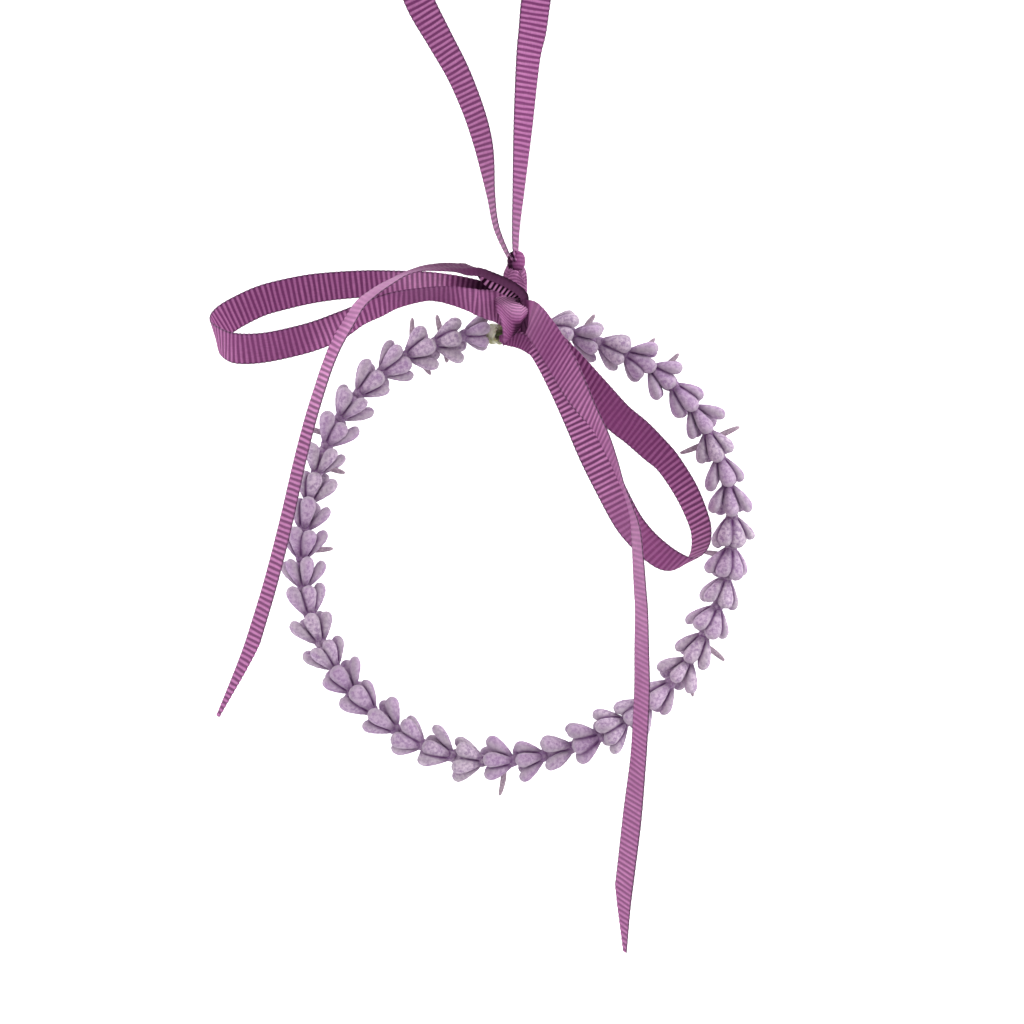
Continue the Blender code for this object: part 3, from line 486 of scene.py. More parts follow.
def strip_rows(route, pitch, gathers):
    """Rows at even shares of a rib along a route: place, along, across, width, distance and ribs passed."""
    places = np.array([point[:3] for point in route]) * MM + np.array(KNOT_CENTRE)
    across = np.array([across_direction(point[3], point[4]) for point in route])
    widths = np.array([[point[5] * MM if len(point) > 5 else RIBBON_WIDTH] for point in route])
    stations = np.hstack((places, across, widths))
    last = len(route) - 1
    fine = []
    for span in range(last):
        four = [stations[min(max(span + offset, 0), last)] for offset in (-1, 0, 1, 2)]
        fine += [catmull_rom(*four, t) for t in np.arange(0.0, 1.0, ROUTE_STEP)]
    fine.append(stations[-1])
    fine = np.array(fine)
    gone = np.concatenate(([0.0], np.cumsum(np.linalg.norm(np.diff(fine[:, :3], axis=0), axis=1))))
    passed = gathered_phase(gone, pitch, gathers)
    phase = np.arange(0.0, passed[-1], 1.0 / ROWS_PER_RIB)
    distance = np.interp(phase, passed, gone)
    rows = np.stack([np.interp(distance, gone, fine[:, column]) for column in range(7)], axis=1)
    place = rows[:, :3]
    along = unit(np.gradient(place, axis=0))
    side = rows[:, 3:6]
    side = unit(side - along * np.sum(side * along, axis=1, keepdims=True))
    return place, along, side, rows[:, 6], distance, phase


def mesh_object(name, verts, faces, materials):
    mesh = bpy.data.meshes.new(name)
    mesh.from_pydata(verts, [], faces)
    mesh.shade_smooth()
    for material in materials:
        mesh.materials.append(material)
    thing = bpy.data.objects.new(name, mesh)
    bpy.context.scene.collection.objects.link(thing)
    return thing


def mesh_piece(name, verts, faces, materials):
    piece = mesh_object(name, verts, faces, materials)
    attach(piece, "root")
    return piece


def put_attributes(piece, **values):
    """Numbers at each point of a piece, which its material reads."""
    for name, numbers in values.items():
        attribute = piece.data.attributes.new(name, "FLOAT", "POINT")
        attribute.data.foreach_set("value", np.asarray(numbers, dtype=np.float32).ravel())


def both_faces(values):
    """Values across a strip's front face, then back across its rear face."""
    return np.concatenate((values, values[:, ::-1]), axis=1)


def smooth_step(low, high, value):
    t = np.clip((value - low) / (high - low), 0.0, 1.0)
    return t * t * (3.0 - 2.0 * t)


def wander(distance, column, seed):
    """A slow uneven shift, the same for the same place, made of three sines."""
    total = 0.0
    for weight, pace, seed_pace, column_pace in WANDER_SINES:
        total = total + weight * np.sin(distance / MM * pace + seed * seed_pace + column * column_pace)
    return total / 2.0


def woven_strip(
    name, route, material, cut_length=0.0, long_edge=1.0, swoop=None, fold=None, looks=None, seed=1.0,
    pitch=RIB_PITCH, gathers=(0.0, 0.0), edging=1.0, slants=NO_SLANTS,
):
    """A grosgrain strip with real cross ribs on both faces and scalloped selvages along its edges.

    Its end is cut on a slant over cut_length, with the long edge at the high (1) or low (-1) side. Swoop
    bends the ribs, fold lifts the strip across its width, and looks gives painted rib contrast, light and
    shade.
    Returns the piece, its centreline and its length.
    """
    place, along, side, width, distance, phase = strip_rows(route, pitch, gathers)
    normal = np.cross(along, side)
    count = len(distance)
    columns = np.array(COLUMNS)
    crest = smooth_step(*CREST_RANGE, 0.5 - 0.5 * np.cos(2.0 * np.pi * phase))
    low = -width / 2.0
    high = width / 2.0
    to_go = distance[-1] - distance
    cut = to_go < cut_length
    if cut_length > 0.0:
        kept = TIP_WIDTH + (width - TIP_WIDTH) * to_go / cut_length
        if long_edge > 0.0:
            low = np.where(cut, high - kept, low)
        else:
            high = np.where(cut, low + kept, high)
    share = (columns + 1.0) / 2.0
    v = low[:, None] * (1.0 - share) + high[:, None] * share
    woven = smooth_step(SELVAGE_START, SELVAGE_FULL, np.abs(columns))[None, :] * np.ones((count, 1))
    raw_side = columns < 0.0 if long_edge > 0.0 else columns > 0.0
    woven[np.ix_(cut, raw_side)] = 0.0
    edge = np.abs(columns) > EDGE_COLUMN
    v = v + SELVAGE_SCALLOP * (crest[:, None] - 0.5) * edge * np.sign(columns) * woven
    # The looks give the painted rib contrast, and painted light above 1 and painted shade below 1
    contrast = np.ones_like(v)
    shade = np.ones_like(v)
    if looks is not None:
        contrast, shade = looks(distance, columns)
    relief = RIB_RELIEF * (FAINT_RELIEF_SHARE + (1.0 - FAINT_RELIEF_SHARE) * np.clip(contrast, 0.0, 1.0))
    half = GROOVE_HALF_THICKNESS + relief * crest[:, None] * (1.0 - SELVAGE_RELIEF_LOSS * woven)
    half = half * np.where(edge, EDGE_THICKNESS_SHARE, 1.0)[None, :]
    shift = RIB_WANDER * wander(distance[:, None], columns[None, :], seed)
    shift = shift * np.clip(np.minimum(distance, to_go) / RIB_PITCH, 0.0, 1.0)[:, None]
    shift = shift + np.interp(distance / MM, *zip(*slants))[:, None] * v
    if swoop is not None:
        shift = shift + swoop(columns)[None, :]
    lift = np.zeros_like(v)
    if fold is not None:
        v, lift = fold(distance, v)
    middle = (
        place[:, None, :]
        + side[:, None, :] * v[:, :, None]
        + along[:, None, :] * shift[:, :, None]
        + normal[:, None, :] * lift[:, :, None]
    )
    front = middle + normal[:, None, :] * half[:, :, None]
    back = middle - normal[:, None, :] * half[:, :, None]
    ring = np.concatenate((front, back[:, ::-1]), axis=1)
    around = ring.shape[1]
    verts = ring.reshape(-1, 3)
    faces = []
    for row in range(count - 1):
        start = row * around
        for k in range(around):
            following = (k + 1) % around
            faces.append((start + k, start + following, start + around + following, start + around + k))
    half_count = around // 2
    for start, flip in ((0, True), ((count - 1) * around, False)):
        for k in range(half_count - 1):
            quad = (start + k, start + k + 1, start + around - 2 - k, start + around - 1 - k)
            faces.append(quad[::-1] if flip else quad)
    piece = mesh_piece(name, verts.tolist(), faces, [material])
    bm = bmesh.new()
    bm.from_mesh(piece.data)
    bmesh.ops.recalc_face_normals(bm, faces=bm.faces)
    bm.to_mesh(piece.data)
    bm.free()
    seen = edging * np.ones(count)
    for gather, from_knot in zip(gathers, (distance, to_go)):
        if gather > 0.0:
            clear = smooth_step(*SELVAGE_FADE_RANGE, from_knot / MM)
            seen = seen * (SELVAGE_LEFT + (1.0 - SELVAGE_LEFT) * clear)
    even = np.ones((1, around))
    put_attributes(
        piece,
        crest=crest[:, None] * even,
        selvage=both_faces(woven * seen[:, None]),
        across=both_faces(v) / MM,
        along=distance[:, None] / MM * even,
        contrast=both_faces(contrast),
        shade=both_faces(shade),
    )
    return piece, middle[:, len(columns) // 2], distance[-1]


def shader_nodes(name):
    material = bpy.data.materials.new(name)
    material.use_nodes = True
    tree = material.node_tree
    return material, tree, tree.nodes["Principled BSDF"]


def feed(socket, value):
    """Sets an input to a constant, or joins it to another node's output."""
    if isinstance(value, bpy.types.NodeSocket):
        socket.id_data.links.new(value, socket)
    else:
        socket.default_value = value


def set_inputs(node, values):
    for name, value in values.items():
        feed(node.inputs[name], value)


def attribute_node(tree, name):
    node = tree.nodes.new("ShaderNodeAttribute")
    node.attribute_type = "GEOMETRY"
    node.attribute_name = name
    return node.outputs["Fac"]


def mix_colour(tree, factor, first, second, blend="MIX"):
    node = tree.nodes.new("ShaderNodeMix")
    node.data_type = "RGBA"
    node.blend_type = blend
    set_inputs(node, {"Factor": factor, "A": first, "B": second})
    return node.outputs["Result"]


def math_node(tree, operation, first, second, clamp=False):
    node = tree.nodes.new("ShaderNodeMath")
    node.operation = operation
    node.use_clamp = clamp
    feed(node.inputs[0], first)
    feed(node.inputs[1], second)
    return node.outputs[0]


def product(tree, first, second):
    return math_node(tree, "MULTIPLY", first, second)


def noise_node(tree, scale, detail=3.0, vector=None):
    node = tree.nodes.new("ShaderNodeTexNoise")
    if vector is None:
        vector = tree.nodes.new("ShaderNodeTexCoord").outputs["Object"]
    set_inputs(node, {"Scale": scale, "Detail": detail, "Vector": vector})
    return node.outputs["Fac"]


def remap(tree, value, low, high, new_low=0.0, new_high=1.0):
    node = tree.nodes.new("ShaderNodeMapRange")
    set_inputs(
        node, {"Value": value, "From Min": low, "From Max": high, "To Min": new_low, "To Max": new_high}
    )
    return node.outputs["Result"]


def bump_node(tree, height, distance, strength):
    node = tree.nodes.new("ShaderNodeBump")
    set_inputs(node, {"Height": height, "Distance": distance, "Strength": strength})
    return node.outputs["Normal"]


def surface(tree, shader, colour, height, depth, strength, values):
    """Joins a colour and a relief to the shader, and sets its other values."""
    relief = bump_node(tree, height, depth, strength)
    set_inputs(shader, {"Base Color": colour, "Normal": relief, **values})


def ribbon_material():
    """Painted light on the crests over painted shade in the grooves, painted light and shade along the ribbon,
    fine threads along it and darker, dotted selvages.
    """
    material, tree, shader = shader_nodes("grosgrain")
    crest, selvage, across, along, contrast, shade = (
        attribute_node(tree, name) for name in ("crest", "selvage", "across", "along", "contrast", "shade")
    )
    place = tree.nodes.new("ShaderNodeCombineXYZ")
    set_inputs(place, {"X": across, "Y": product(tree, along, THREAD_STRETCH)})
    threads = noise_node(tree, THREAD_SCALE, 2.0, place.outputs["Vector"])
    patches = noise_node(tree, PATCH_SCALE, 2.0)
    # Painted shade in the grooves and painted light on the crests, faded towards the ribbon's own middle
    # colour by the painted rib contrast
    colour = mix_colour(tree, crest, RIB_GROOVE_SHADE, RIB_CREST_LIGHT)
    colour = mix_colour(tree, contrast, RIB_MIDDLE, colour)
    # The threads' uneven tint, multiplied by the painted light and shade
    threads_and_light = product(tree, remap(tree, threads, 0.3, 0.7, *THREAD_TINTS), shade)
    lighter = tree.nodes.new("ShaderNodeCombineXYZ")
    set_inputs(lighter, {"X": threads_and_light, "Y": threads_and_light, "Z": threads_and_light})
    colour = mix_colour(tree, 1.0, colour, lighter.outputs["Vector"], "MULTIPLY")
    # Above 1 the painted light also turns the colour towards a pale painted highlight
    above = math_node(tree, "SUBTRACT", shade, 1.0)
    pale = math_node(tree, "MULTIPLY", above, HIGHLIGHT_STRENGTH, clamp=True)
    colour = mix_colour(tree, pale, colour, RIBBON_HIGHLIGHT)
    drift = remap(tree, patches, 0.3, 0.7, 0.0, PATCH_STRENGTH)
    colour = mix_colour(tree, product(tree, drift, shade), colour, RIBBON_PATCH)
    dotted = mix_colour(tree, crest, SELVAGE_GROOVE, SELVAGE_CREST)
    # The dotted selvage, weaker in painted shade and stronger in painted light
    dotted_edge = product(tree, product(tree, selvage, SELVAGE_STRENGTH), shade)
    colour = mix_colour(tree, dotted_edge, colour, dotted)
    # Specular and sheen follow the painted light and shade
    values = {
        "Specular IOR Level": product(tree, shade, RIBBON_SPECULAR),
        "Sheen Weight": product(tree, shade, RIBBON_SHEEN),
        **RIBBON_VALUES,
    }
    surface(tree, shader, colour, threads, 0.05 * MM, 0.5, values)
    return material


def flock_material():
    """Short flock: mottled grey lilac on the rounds, painted plum shade in the creases, painted grey sheen on
    bud rims and tips, pale at a glancing angle.
    """
    material, tree, shader = shader_nodes("flock")
    crease = attribute_node(tree, "crease")
    tone = attribute_node(tree, "tone")
    mottle = noise_node(tree, MOTTLE_SCALE, 4.0)
    specks = noise_node(tree, SPECK_SCALE, 2.0)
    colour = mix_colour(tree, remap(tree, mottle, 0.38, 0.62), FLOCK_DARK, FLOCK_LIGHT)
    colour = mix_colour(tree, remap(tree, specks, 0.45, 0.75, 0.0, SPECK_STRENGTH), colour, FLOCK_SPECK)
    colour = mix_colour(tree, tone, colour, FLOCK_TONE)
    # Painted grey sheen on the buds' side rims and tips
    grey = product(tree, attribute_node(tree, "rim"), RIM_SHEEN_STRENGTH)
    colour = mix_colour(tree, grey, colour, FLOCK_RIM_SHEEN)
    # Painted plum shade in the creases
    colour = mix_colour(tree, crease, colour, FLOCK_CREASE_SHADE)
    surface(tree, shader, colour, math_node(tree, "ADD", mottle, specks), 0.12 * MM, 0.7, FLOCK_VALUES)
    return material


def two_tone_material(name):
    """A colour that wavers between two tones, with a little relief of the same grain."""
    scale, spread, dark, light, depth, strength, values = TWO_TONES[name]
    material, tree, shader = shader_nodes(name)
    grain = noise_node(tree, scale)
    colour = mix_colour(tree, remap(tree, grain, *spread), dark, light)
    surface(tree, shader, colour, grain, depth, strength, values)
    return material


def ring_radius(clock):
    last = len(RING_RADII) - 1
    place = (clock - RADII_FIRST_CLOCK) / RADII_STEP
    first = int(place)
    values = [RING_RADII[min(max(first + offset, 0), last)] * MM for offset in (-1, 0, 1, 2)]
    return catmull_rom(*values, place - first)


def ring_point(clock):
    angle = math.radians(clock)
    radius = ring_radius(clock)
    return RING_CENTRE + Vector((radius * math.sin(angle), 0.0, radius * math.cos(angle)))


def ring_frame(clock):
    """A matrix at a clock position: local Z runs clockwise along the wire, local Y points to the back."""
    along = (ring_point(clock + CLOCK_NUDGE) - ring_point(clock - CLOCK_NUDGE)).normalized()
    back = Vector((0.0, 1.0, 0.0))
    side = back.cross(along)
    turn = Matrix((side, back, along)).transposed().to_4x4()
    return Matrix.Translation(ring_point(clock)) @ turn


def whorl_clocks():
    """Clock positions of all the whorls, evenly spaced from each key whorl to the next."""
    keys = list(KEY_WHORLS.items())
    clocks = [keys[0][1]]
    for (number, clock), (next_number, next_clock) in zip(keys, keys[1:]):
        steps = next_number - number
        clocks += [clock + (next_clock - clock) * step / steps for step in range(1, steps + 1)]
    return clocks


def moved(points, matrix):
    """Points, of any array shape with three values each, as rows moved by a 4 x 4 matrix."""
    points = points.reshape(-1, 3)
    return (np.hstack((points, np.ones((len(points), 1)))) @ np.array(matrix).T)[:, :3]


def tube_faces(first, rows, sides):
    """Quads between rings of points, and a cap on each end."""
    faces = []
    for row in range(rows - 1):
        for k in range(sides):
            a = first + row * sides + k
            b = first + row * sides + (k + 1) % sides
            faces.append((a, b, b + sides, a + sides))
    faces.append(tuple(first + k for k in reversed(range(sides))))
    faces.append(tuple(first + (rows - 1) * sides + k for k in range(sides)))
    return faces


def sleeve_points():
    """The flocked sleeve round the wire, a little waisted at both ends."""
    share = np.linspace(0.0, 1.0, SLEEVE_ROWS)
    radius = np.interp(share, *zip(*SLEEVE_RADII))
    angle = np.linspace(0.0, 2.0 * np.pi, SLEEVE_SIDES, endpoint=False)
    height = SLEEVE_FOOT + (SLEEVE_TOP - SLEEVE_FOOT) * share
    ring = np.stack((np.cos(angle), np.sin(angle)), axis=1)
    flat = radius[:, None, None] * ring[None, :, :]
    tall = np.broadcast_to(height[:, None, None], (SLEEVE_ROWS, SLEEVE_SIDES, 1))
    return np.concatenate((flat, tall), axis=2).reshape(-1, 3)


class Bud:
    """One obovate bud with a broad round tip, bent a little back towards the wire."""

    def __init__(self, around, splay, scale, shape):
        self.length = BUD_LENGTH * scale * shape.uniform(*BUD_LENGTH_DRAW)
        self.half_width = BUD_WIDTH / 2.0 * scale * shape.uniform(*BUD_WIDTH_DRAW)
        self.half_thickness = BUD_THICKNESS / 2.0 * scale * shape.uniform(*BUD_THICKNESS_DRAW)
        self.bend = BUD_BEND * shape.uniform(*BUD_BEND_DRAW)
        sideways = abs(math.sin(around))
        splay *= FRONT_SPLAY_SHARE + (SIDE_SPLAY_SHARE - FRONT_SPLAY_SHARE) * sideways
        matrix = (
            Matrix.Rotation(around, 4, "Z")
            @ Matrix.Translation((0.0, BUD_ROOT_RADIUS, BUD_ROOT_HEIGHT))
            @ Matrix.Rotation(-splay, 4, "X")
            @ Matrix.Rotation(shape.uniform(*BUD_TWIST_DRAW), 4, "Z")
        )
        self.matrix = matrix
        self.inverse = matrix.inverted()

    def spread(self, along):
        """How broad the bud is along its length, narrow at the root and full at the tip."""
        return (BUD_ROOT_WIDTH + (BUD_TIP_WIDTH - BUD_ROOT_WIDTH) * along) * (1.0 + BUD_TIP_SWELL * along)

    def points(self):
        """The bud's surface in the whorl's frame: points, how far along it, and how near its side rims, for
        the painted sheen there.
        """
        polar = np.linspace(*BUD_POLAR_RANGE, BUD_ROWS) * np.pi
        angle = np.linspace(0.0, 2.0 * np.pi, BUD_SIDES, endpoint=False)
        along = (1.0 - np.cos(polar)) / 2.0
        ring = np.sin(polar) * self.spread(along)
        x = ring[:, None] * np.cos(angle)[None, :] * self.half_width
        y = ring[:, None] * np.sin(angle)[None, :] * self.half_thickness - (self.bend * along**2)[:, None]
        z = (along + BUD_FULLNESS * np.sin(np.pi * along)) * self.length
        z = np.broadcast_to(z[:, None], x.shape)
        rim = np.broadcast_to((np.abs(np.cos(angle)) ** RIM_SHEEN_POWER)[None, :], x.shape).ravel()
        return moved(np.stack((x, y, z), axis=2), self.matrix), np.repeat(along, BUD_SIDES), rim

    def nearness(self, points):
        """1 where points touch or lie in this bud, down to 0 where they are well clear of it."""
        x, y, z = moved(points, self.inverse).T
        along = np.clip(z / self.length, *NEARNESS_ALONG)
        ring = np.sin(np.arccos(1.0 - 2.0 * along)) * self.spread(along)
        beyond = np.abs(z / self.length - along) * self.length
        x = x / (ring * self.half_width)
        y = (y + self.bend * along**2) / (ring * self.half_thickness)
        return smooth_step(*NEARNESS_RANGE, np.sqrt(x * x + y * y) + beyond)


def bract_points(around, splay, length, shape):
    """A thin, bent bract that widens a little, then narrows to a blunt end."""
    bend = shape.uniform(*BRACT_BEND_DRAW)
    flat = shape.uniform(*BRACT_FLAT_DRAW)
    root, swell, loss, blunt = BRACT_SWELL
    matrix = (
        Matrix.Rotation(around, 4, "Z")
        @ Matrix.Translation((0.0, BUD_ROOT_RADIUS, BRACT_HEIGHT))
        @ Matrix.Rotation(-splay, 4, "X")
    )
    share = np.linspace(0.0, 1.0, BRACT_ROWS)
    radius = BRACT_RADIUS * (root + swell * np.sin(np.pi * share) - loss * share)
    radius[-1] *= blunt
    angle = np.linspace(0.0, 2.0 * np.pi, BRACT_SIDES, endpoint=False)
    x = radius[:, None] * np.cos(angle)[None, :] * flat
    y = radius[:, None] * np.sin(angle)[None, :] + (bend * share**2)[:, None]
    z = np.broadcast_to((length * share)[:, None], x.shape)
    return moved(np.stack((x, y, z), axis=2), matrix)


def roughen(piece, number, flocked):
    """Uneven flock: the first points of a piece are moved a little along their normals."""
    mesh = piece.data
    places = np.empty(len(mesh.vertices) * 3)
    mesh.vertices.foreach_get("co", places)
    normals = np.empty(len(mesh.vertices) * 3)
    mesh.vertices.foreach_get("normal", normals)
    places = places.reshape(-1, 3)
    normals = normals.reshape(-1, 3)
    offset = Vector([number * step for step in NOISE_STEPS])
    for index in range(flocked):
        spot = Vector(places[index]) / MM + offset
        rise = MOTTLE_DEPTH * noise.noise(spot / MOTTLE_SIZE) + FLOCK_DEPTH * noise.noise(spot / FLOCK_SIZE)
        places[index] += normals[index] * rise * MM
    mesh.vertices.foreach_set("co", places.ravel())
    mesh.update()


def build_whorl(number, clock, draw, shape, materials):
    """A whorl of separate flocked buds, drawn by the same rule as the part's own whorl."""
    count = draw.choice(BUD_COUNTS)
    roll = math.pi + draw.uniform(-ROLL_JITTER, ROLL_JITTER)
    if number in FRONT_GAP_WHORLS:
        roll += math.pi / count
    buds = []
    for index in range(count):
        around = roll + 2.0 * math.pi * (index + draw.uniform(-BUD_JITTER, BUD_JITTER)) / count
        splay = math.radians(draw.uniform(*SPLAY_DEGREES))
        shorter = LAST_WHORL_SHORTER if number == max(KEY_WHORLS) else 1.0
        buds.append(Bud(around, splay, draw.uniform(*BUD_SCALES) * shorter, shape))
    groups = [sleeve_points()]
    # Painted crease shade: some everywhere on the sleeve, more beside the buds
    anywhere, beside_buds = SLEEVE_CREASE_SHADES
    creases = [np.max([bud.nearness(groups[0]) for bud in buds], axis=0) * beside_buds + anywhere]
    rim_sheens = [np.zeros(len(groups[0]))]
    faces = tube_faces(0, SLEEVE_ROWS, SLEEVE_SIDES)
    for bud in buds:
        points, along, rim = bud.points()
        faces += tube_faces(sum(map(len, groups)), BUD_ROWS, BUD_SIDES)
        groups.append(points)
        near = np.max([other.nearness(points) for other in buds if other is not bud], axis=0)
        # Painted crease shade on a bud beside other buds and towards its root, and painted sheen on its side
        # rims and tip
        beside, root = BUD_CREASE_SHADES
        creases.append(np.clip(beside * near + root * smooth_step(*ROOT_SHADE_RANGE, along), 0.0, 1.0))
        rim_sheens.append(np.maximum(rim, smooth_step(*TIP_SHEEN_RANGE, along)))
    flocked = sum(map(len, groups))
    flocked_faces = len(faces)
    for around, splay, length in BRACTS.get(number, ()):
        faces += tube_faces(sum(map(len, groups)), BRACT_ROWS, BRACT_SIDES)
        groups.append(bract_points(math.radians(around), math.radians(splay), length, shape))
        creases.append(np.zeros(len(groups[-1])))
        rim_sheens.append(np.zeros(len(groups[-1])))
    placed = moved(np.concatenate(groups), ring_frame(clock) @ Matrix.Diagonal((MM, MM, MM, 1.0)))
    piece = mesh_piece(f"flocked_whorl_{number:02d}", placed.tolist(), faces, materials)
    for polygon in piece.data.polygons[flocked_faces:]:
        polygon.material_index = 1
    roughen(piece, number, flocked)
    tone = np.full(len(placed), shape.uniform(*TONE_DRAW))
    put_attributes(piece, crease=np.concatenate(creases), rim=np.concatenate(rim_sheens), tone=tone)
    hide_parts(f"whorl_{number:02d}")


def build_stem_end(material):
    """The short cut stem left of the knot: a thick pale wall round a hollow, with a ragged rim."""
    profile = STUB_OUTER + STUB_INNER
    ragged, wall_pace = STUB_WALL_NOISE
    torn, tear_pace = STUB_TEAR_NOISE
    verts = []
    for row, (height, radius) in enumerate(profile):
        for k in range(STUB_SIDES):
            angle = 2.0 * math.pi * k / STUB_SIDES
            x = math.cos(angle)
            y = math.sin(angle)
            wall = radius * (1.0 + ragged * noise.noise(Vector((x * wall_pace, y * wall_pace, height))))
            tear = torn * noise.noise(Vector((x * tear_pace, y * tear_pace, STUB_TEAR_SEED)))
            verts.append((wall * x, wall * y, height + (tear if row in STUB_RIM_ROWS else 0.0)))
    faces = tube_faces(0, len(profile), STUB_SIDES)[:-2]
    top = (len(profile) - 1) * STUB_SIDES
    for k in range(STUB_SIDES):
        following = (k + 1) % STUB_SIDES
        faces.append((top + k, top + following, following, k))
    tilt = Matrix.Rotation(STUB_TILT, 4, "X")
    matrix = ring_frame(STEM_END_CLOCK) @ tilt @ Matrix.Diagonal((MM, MM, MM, 1.0))
    piece = mesh_piece("cut_stem", [matrix @ Vector(vert) for vert in verts], faces, [material])
    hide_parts("stem_end")


def dress_wire(material):
    wire = bpy.data.objects["ring_wire"]
    for slot in wire.material_slots:
        slot.material = material


def knot_swoop(columns):
    """The knot's ribs fall steeply from its upper left, level out, and hook up at the right edge."""
    fall = KNOT_LEFT_FALL * smooth_step(*KNOT_LEFT_RANGE, columns) ** KNOT_LEFT_POWER
    return -fall - KNOT_RIGHT_HOOK * smooth_step(*KNOT_RIGHT_RANGE, columns)


def neck_swoop(columns):
    """Ribs of the gathered neck, bent down to both sides."""
    return NECK_BOW * columns**2


def looks_along(*stations):
    """Painted rib contrast and painted light and shade of the ribbon at a few distances along it, in
    millimetres.
    """
    places, contrasts, shades = zip(*stations)

    def looks(distance, columns):
        even = np.ones((1, len(columns)))
        contrast = np.interp(distance / MM, places, contrasts)[:, None] * even
        return contrast, np.interp(distance / MM, places, shades)[:, None] * even

    return looks


def arch_looks(distance, columns):
    """Near the knot the tail's outer face gets almost no painted rib contrast; its inner face is painted in
    shade, with painted light on the tips of its crests.
    """
    even = np.ones((1, len(columns)))
    away = distance / MM
    bent = smooth_step(*ARCH_SHADE_RANGE, away)[:, None] * even
    inner = bent * smooth_step(*ARCH_INNER_RANGE, columns)[None, :]
    contrast = np.interp(away, *zip(*ARCH_CONTRASTS))[:, None] * even
    shade = np.interp(away, *zip(*ARCH_SHADES))
    crest = 0.5 - 0.5 * np.cos(2.0 * np.pi * gathered_phase(distance, RIB_PITCH, (GATHER, 0.0)))
    tips = smooth_step(*ARCH_TIP_CRESTS, crest)[:, None] * smooth_step(*ARCH_TIP_RANGE, columns)[None, :]
    under = 1.0 - ARCH_UNDER_LOSS * bent * smooth_step(*ARCH_UNDER_RANGE, columns)[None, :]
    dark, lit = ARCH_TIP_SHADES
    shades = shade[:, None] * under * (1.0 - inner) + (dark + lit * tips) * inner
    return contrast + ARCH_INNER_CONTRAST * inner, shades


def knot_looks(distance, columns):
    """Painted light on the ribs of the knot's upper part, painted shade on its lower part, and a painted
    shadow in the slot at its lower right.
    """
    low = smooth_step(*KNOT_LOW_RANGE, distance / MM)[:, None]
    right = smooth_step(*KNOT_SHADOW_SIDE, columns)[None, :]
    # The slot's darkness is a painted shadow
    slot = smooth_step(*KNOT_SHADOW_RANGE, distance / MM)[:, None] * right
    strong, fading = KNOT_CONTRAST
    bright, duller, darker = KNOT_SHADE
    return strong - fading * low * np.ones((1, len(columns))), bright - duller * low - darker * slot


def neck_fold(distance, v):
    """Folds along the gathered neck, deepest where it is drawn in at both ends."""
    share = distance / distance[-1]
    drawn = sum(smooth_step(*span, share) for span in NECK_DRAWN_IN)
    return v, NECK_FOLD_DEPTH * drawn[:, None] * np.cos(v / MM * NECK_FOLD_PACE)


def pillow_fold(distance, v):
    """The knot's face: both edges roll back."""
    return v, -PILLOW_ROUNDNESS * (v / MM) ** 2 * MM


def arch_fold(distance, v):
    """Near the knot the left tail is creased along its length, and both sides of the crease hang down."""
    away = distance[:, None] / MM
    front_bent = smooth_step(*ARCH_FRONT_RANGE, away)
    back_bent = smooth_step(*ARCH_BACK_RANGE, away)
    rolled = ARCH_ROLL * smooth_step(*ARCH_ROLL_RANGE, away)
    front_angle = ARCH_FRONT_DROP * front_bent + rolled * (1.0 - front_bent)
    back_angle = ARCH_BACK_DROP * back_bent - rolled * (1.0 - back_bent)
    from_crease = v - ARCH_CREASE
    angle = np.where(from_crease > 0.0, front_angle, back_angle)
    rounded = np.sqrt(from_crease**2 + ARCH_CREASE_RADIUS**2) - ARCH_CREASE_RADIUS
    lift = ARCH_LIFT * smooth_step(*ARCH_LIFT_RANGE, away) - ARCH_ROLL_DROP * rolled * (1.0 - back_bent)
    return ARCH_CREASE + from_crease * np.cos(angle), lift - rounded * np.sin(angle)


def build_ribbons(material):
    for name, route, node, looks, seed, gathers, slants in (
        ("left_loop", LEFT_LOOP, "bow_ribbon", LEFT_LOOP_LOOKS, 1.0, (GATHER, GATHER), LEFT_SLANTS),
        ("right_loop", RIGHT_LOOP, "bow_ribbon", RIGHT_LOOP_LOOKS, 2.0, (GATHER, GATHER), RIGHT_SLANTS),
        ("hanging_loop", HANGING_LOOP, "hanging_ribbon", HANGING_LOOKS, 5.0, (0.0, 0.0), NO_SLANTS),
    ):
        piece, _, _ = woven_strip(
            name, route, material, looks=looks_along(*looks), seed=seed, gathers=gathers, slants=slants
        )
        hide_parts(node)
    right_looks = looks_along(*RIGHT_TAIL_LOOKS)
    for name, route, cut, edge, fold, looks, seed, slants in (
        ("left_tail", LEFT_TAIL, TAIL_CUTS["left"], -1.0, arch_fold, arch_looks, 3.0, NO_SLANTS),
        ("right_tail", RIGHT_TAIL, TAIL_CUTS["right"], 1.0, None, right_looks, 4.0, RIGHT_SLANTS),
    ):
        piece, path, length = woven_strip(
            name, route, material, cut, edge, fold=fold, looks=looks, seed=seed, gathers=(GATHER, 0.0),
            slants=slants,
        )
        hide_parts("bow_ribbon")


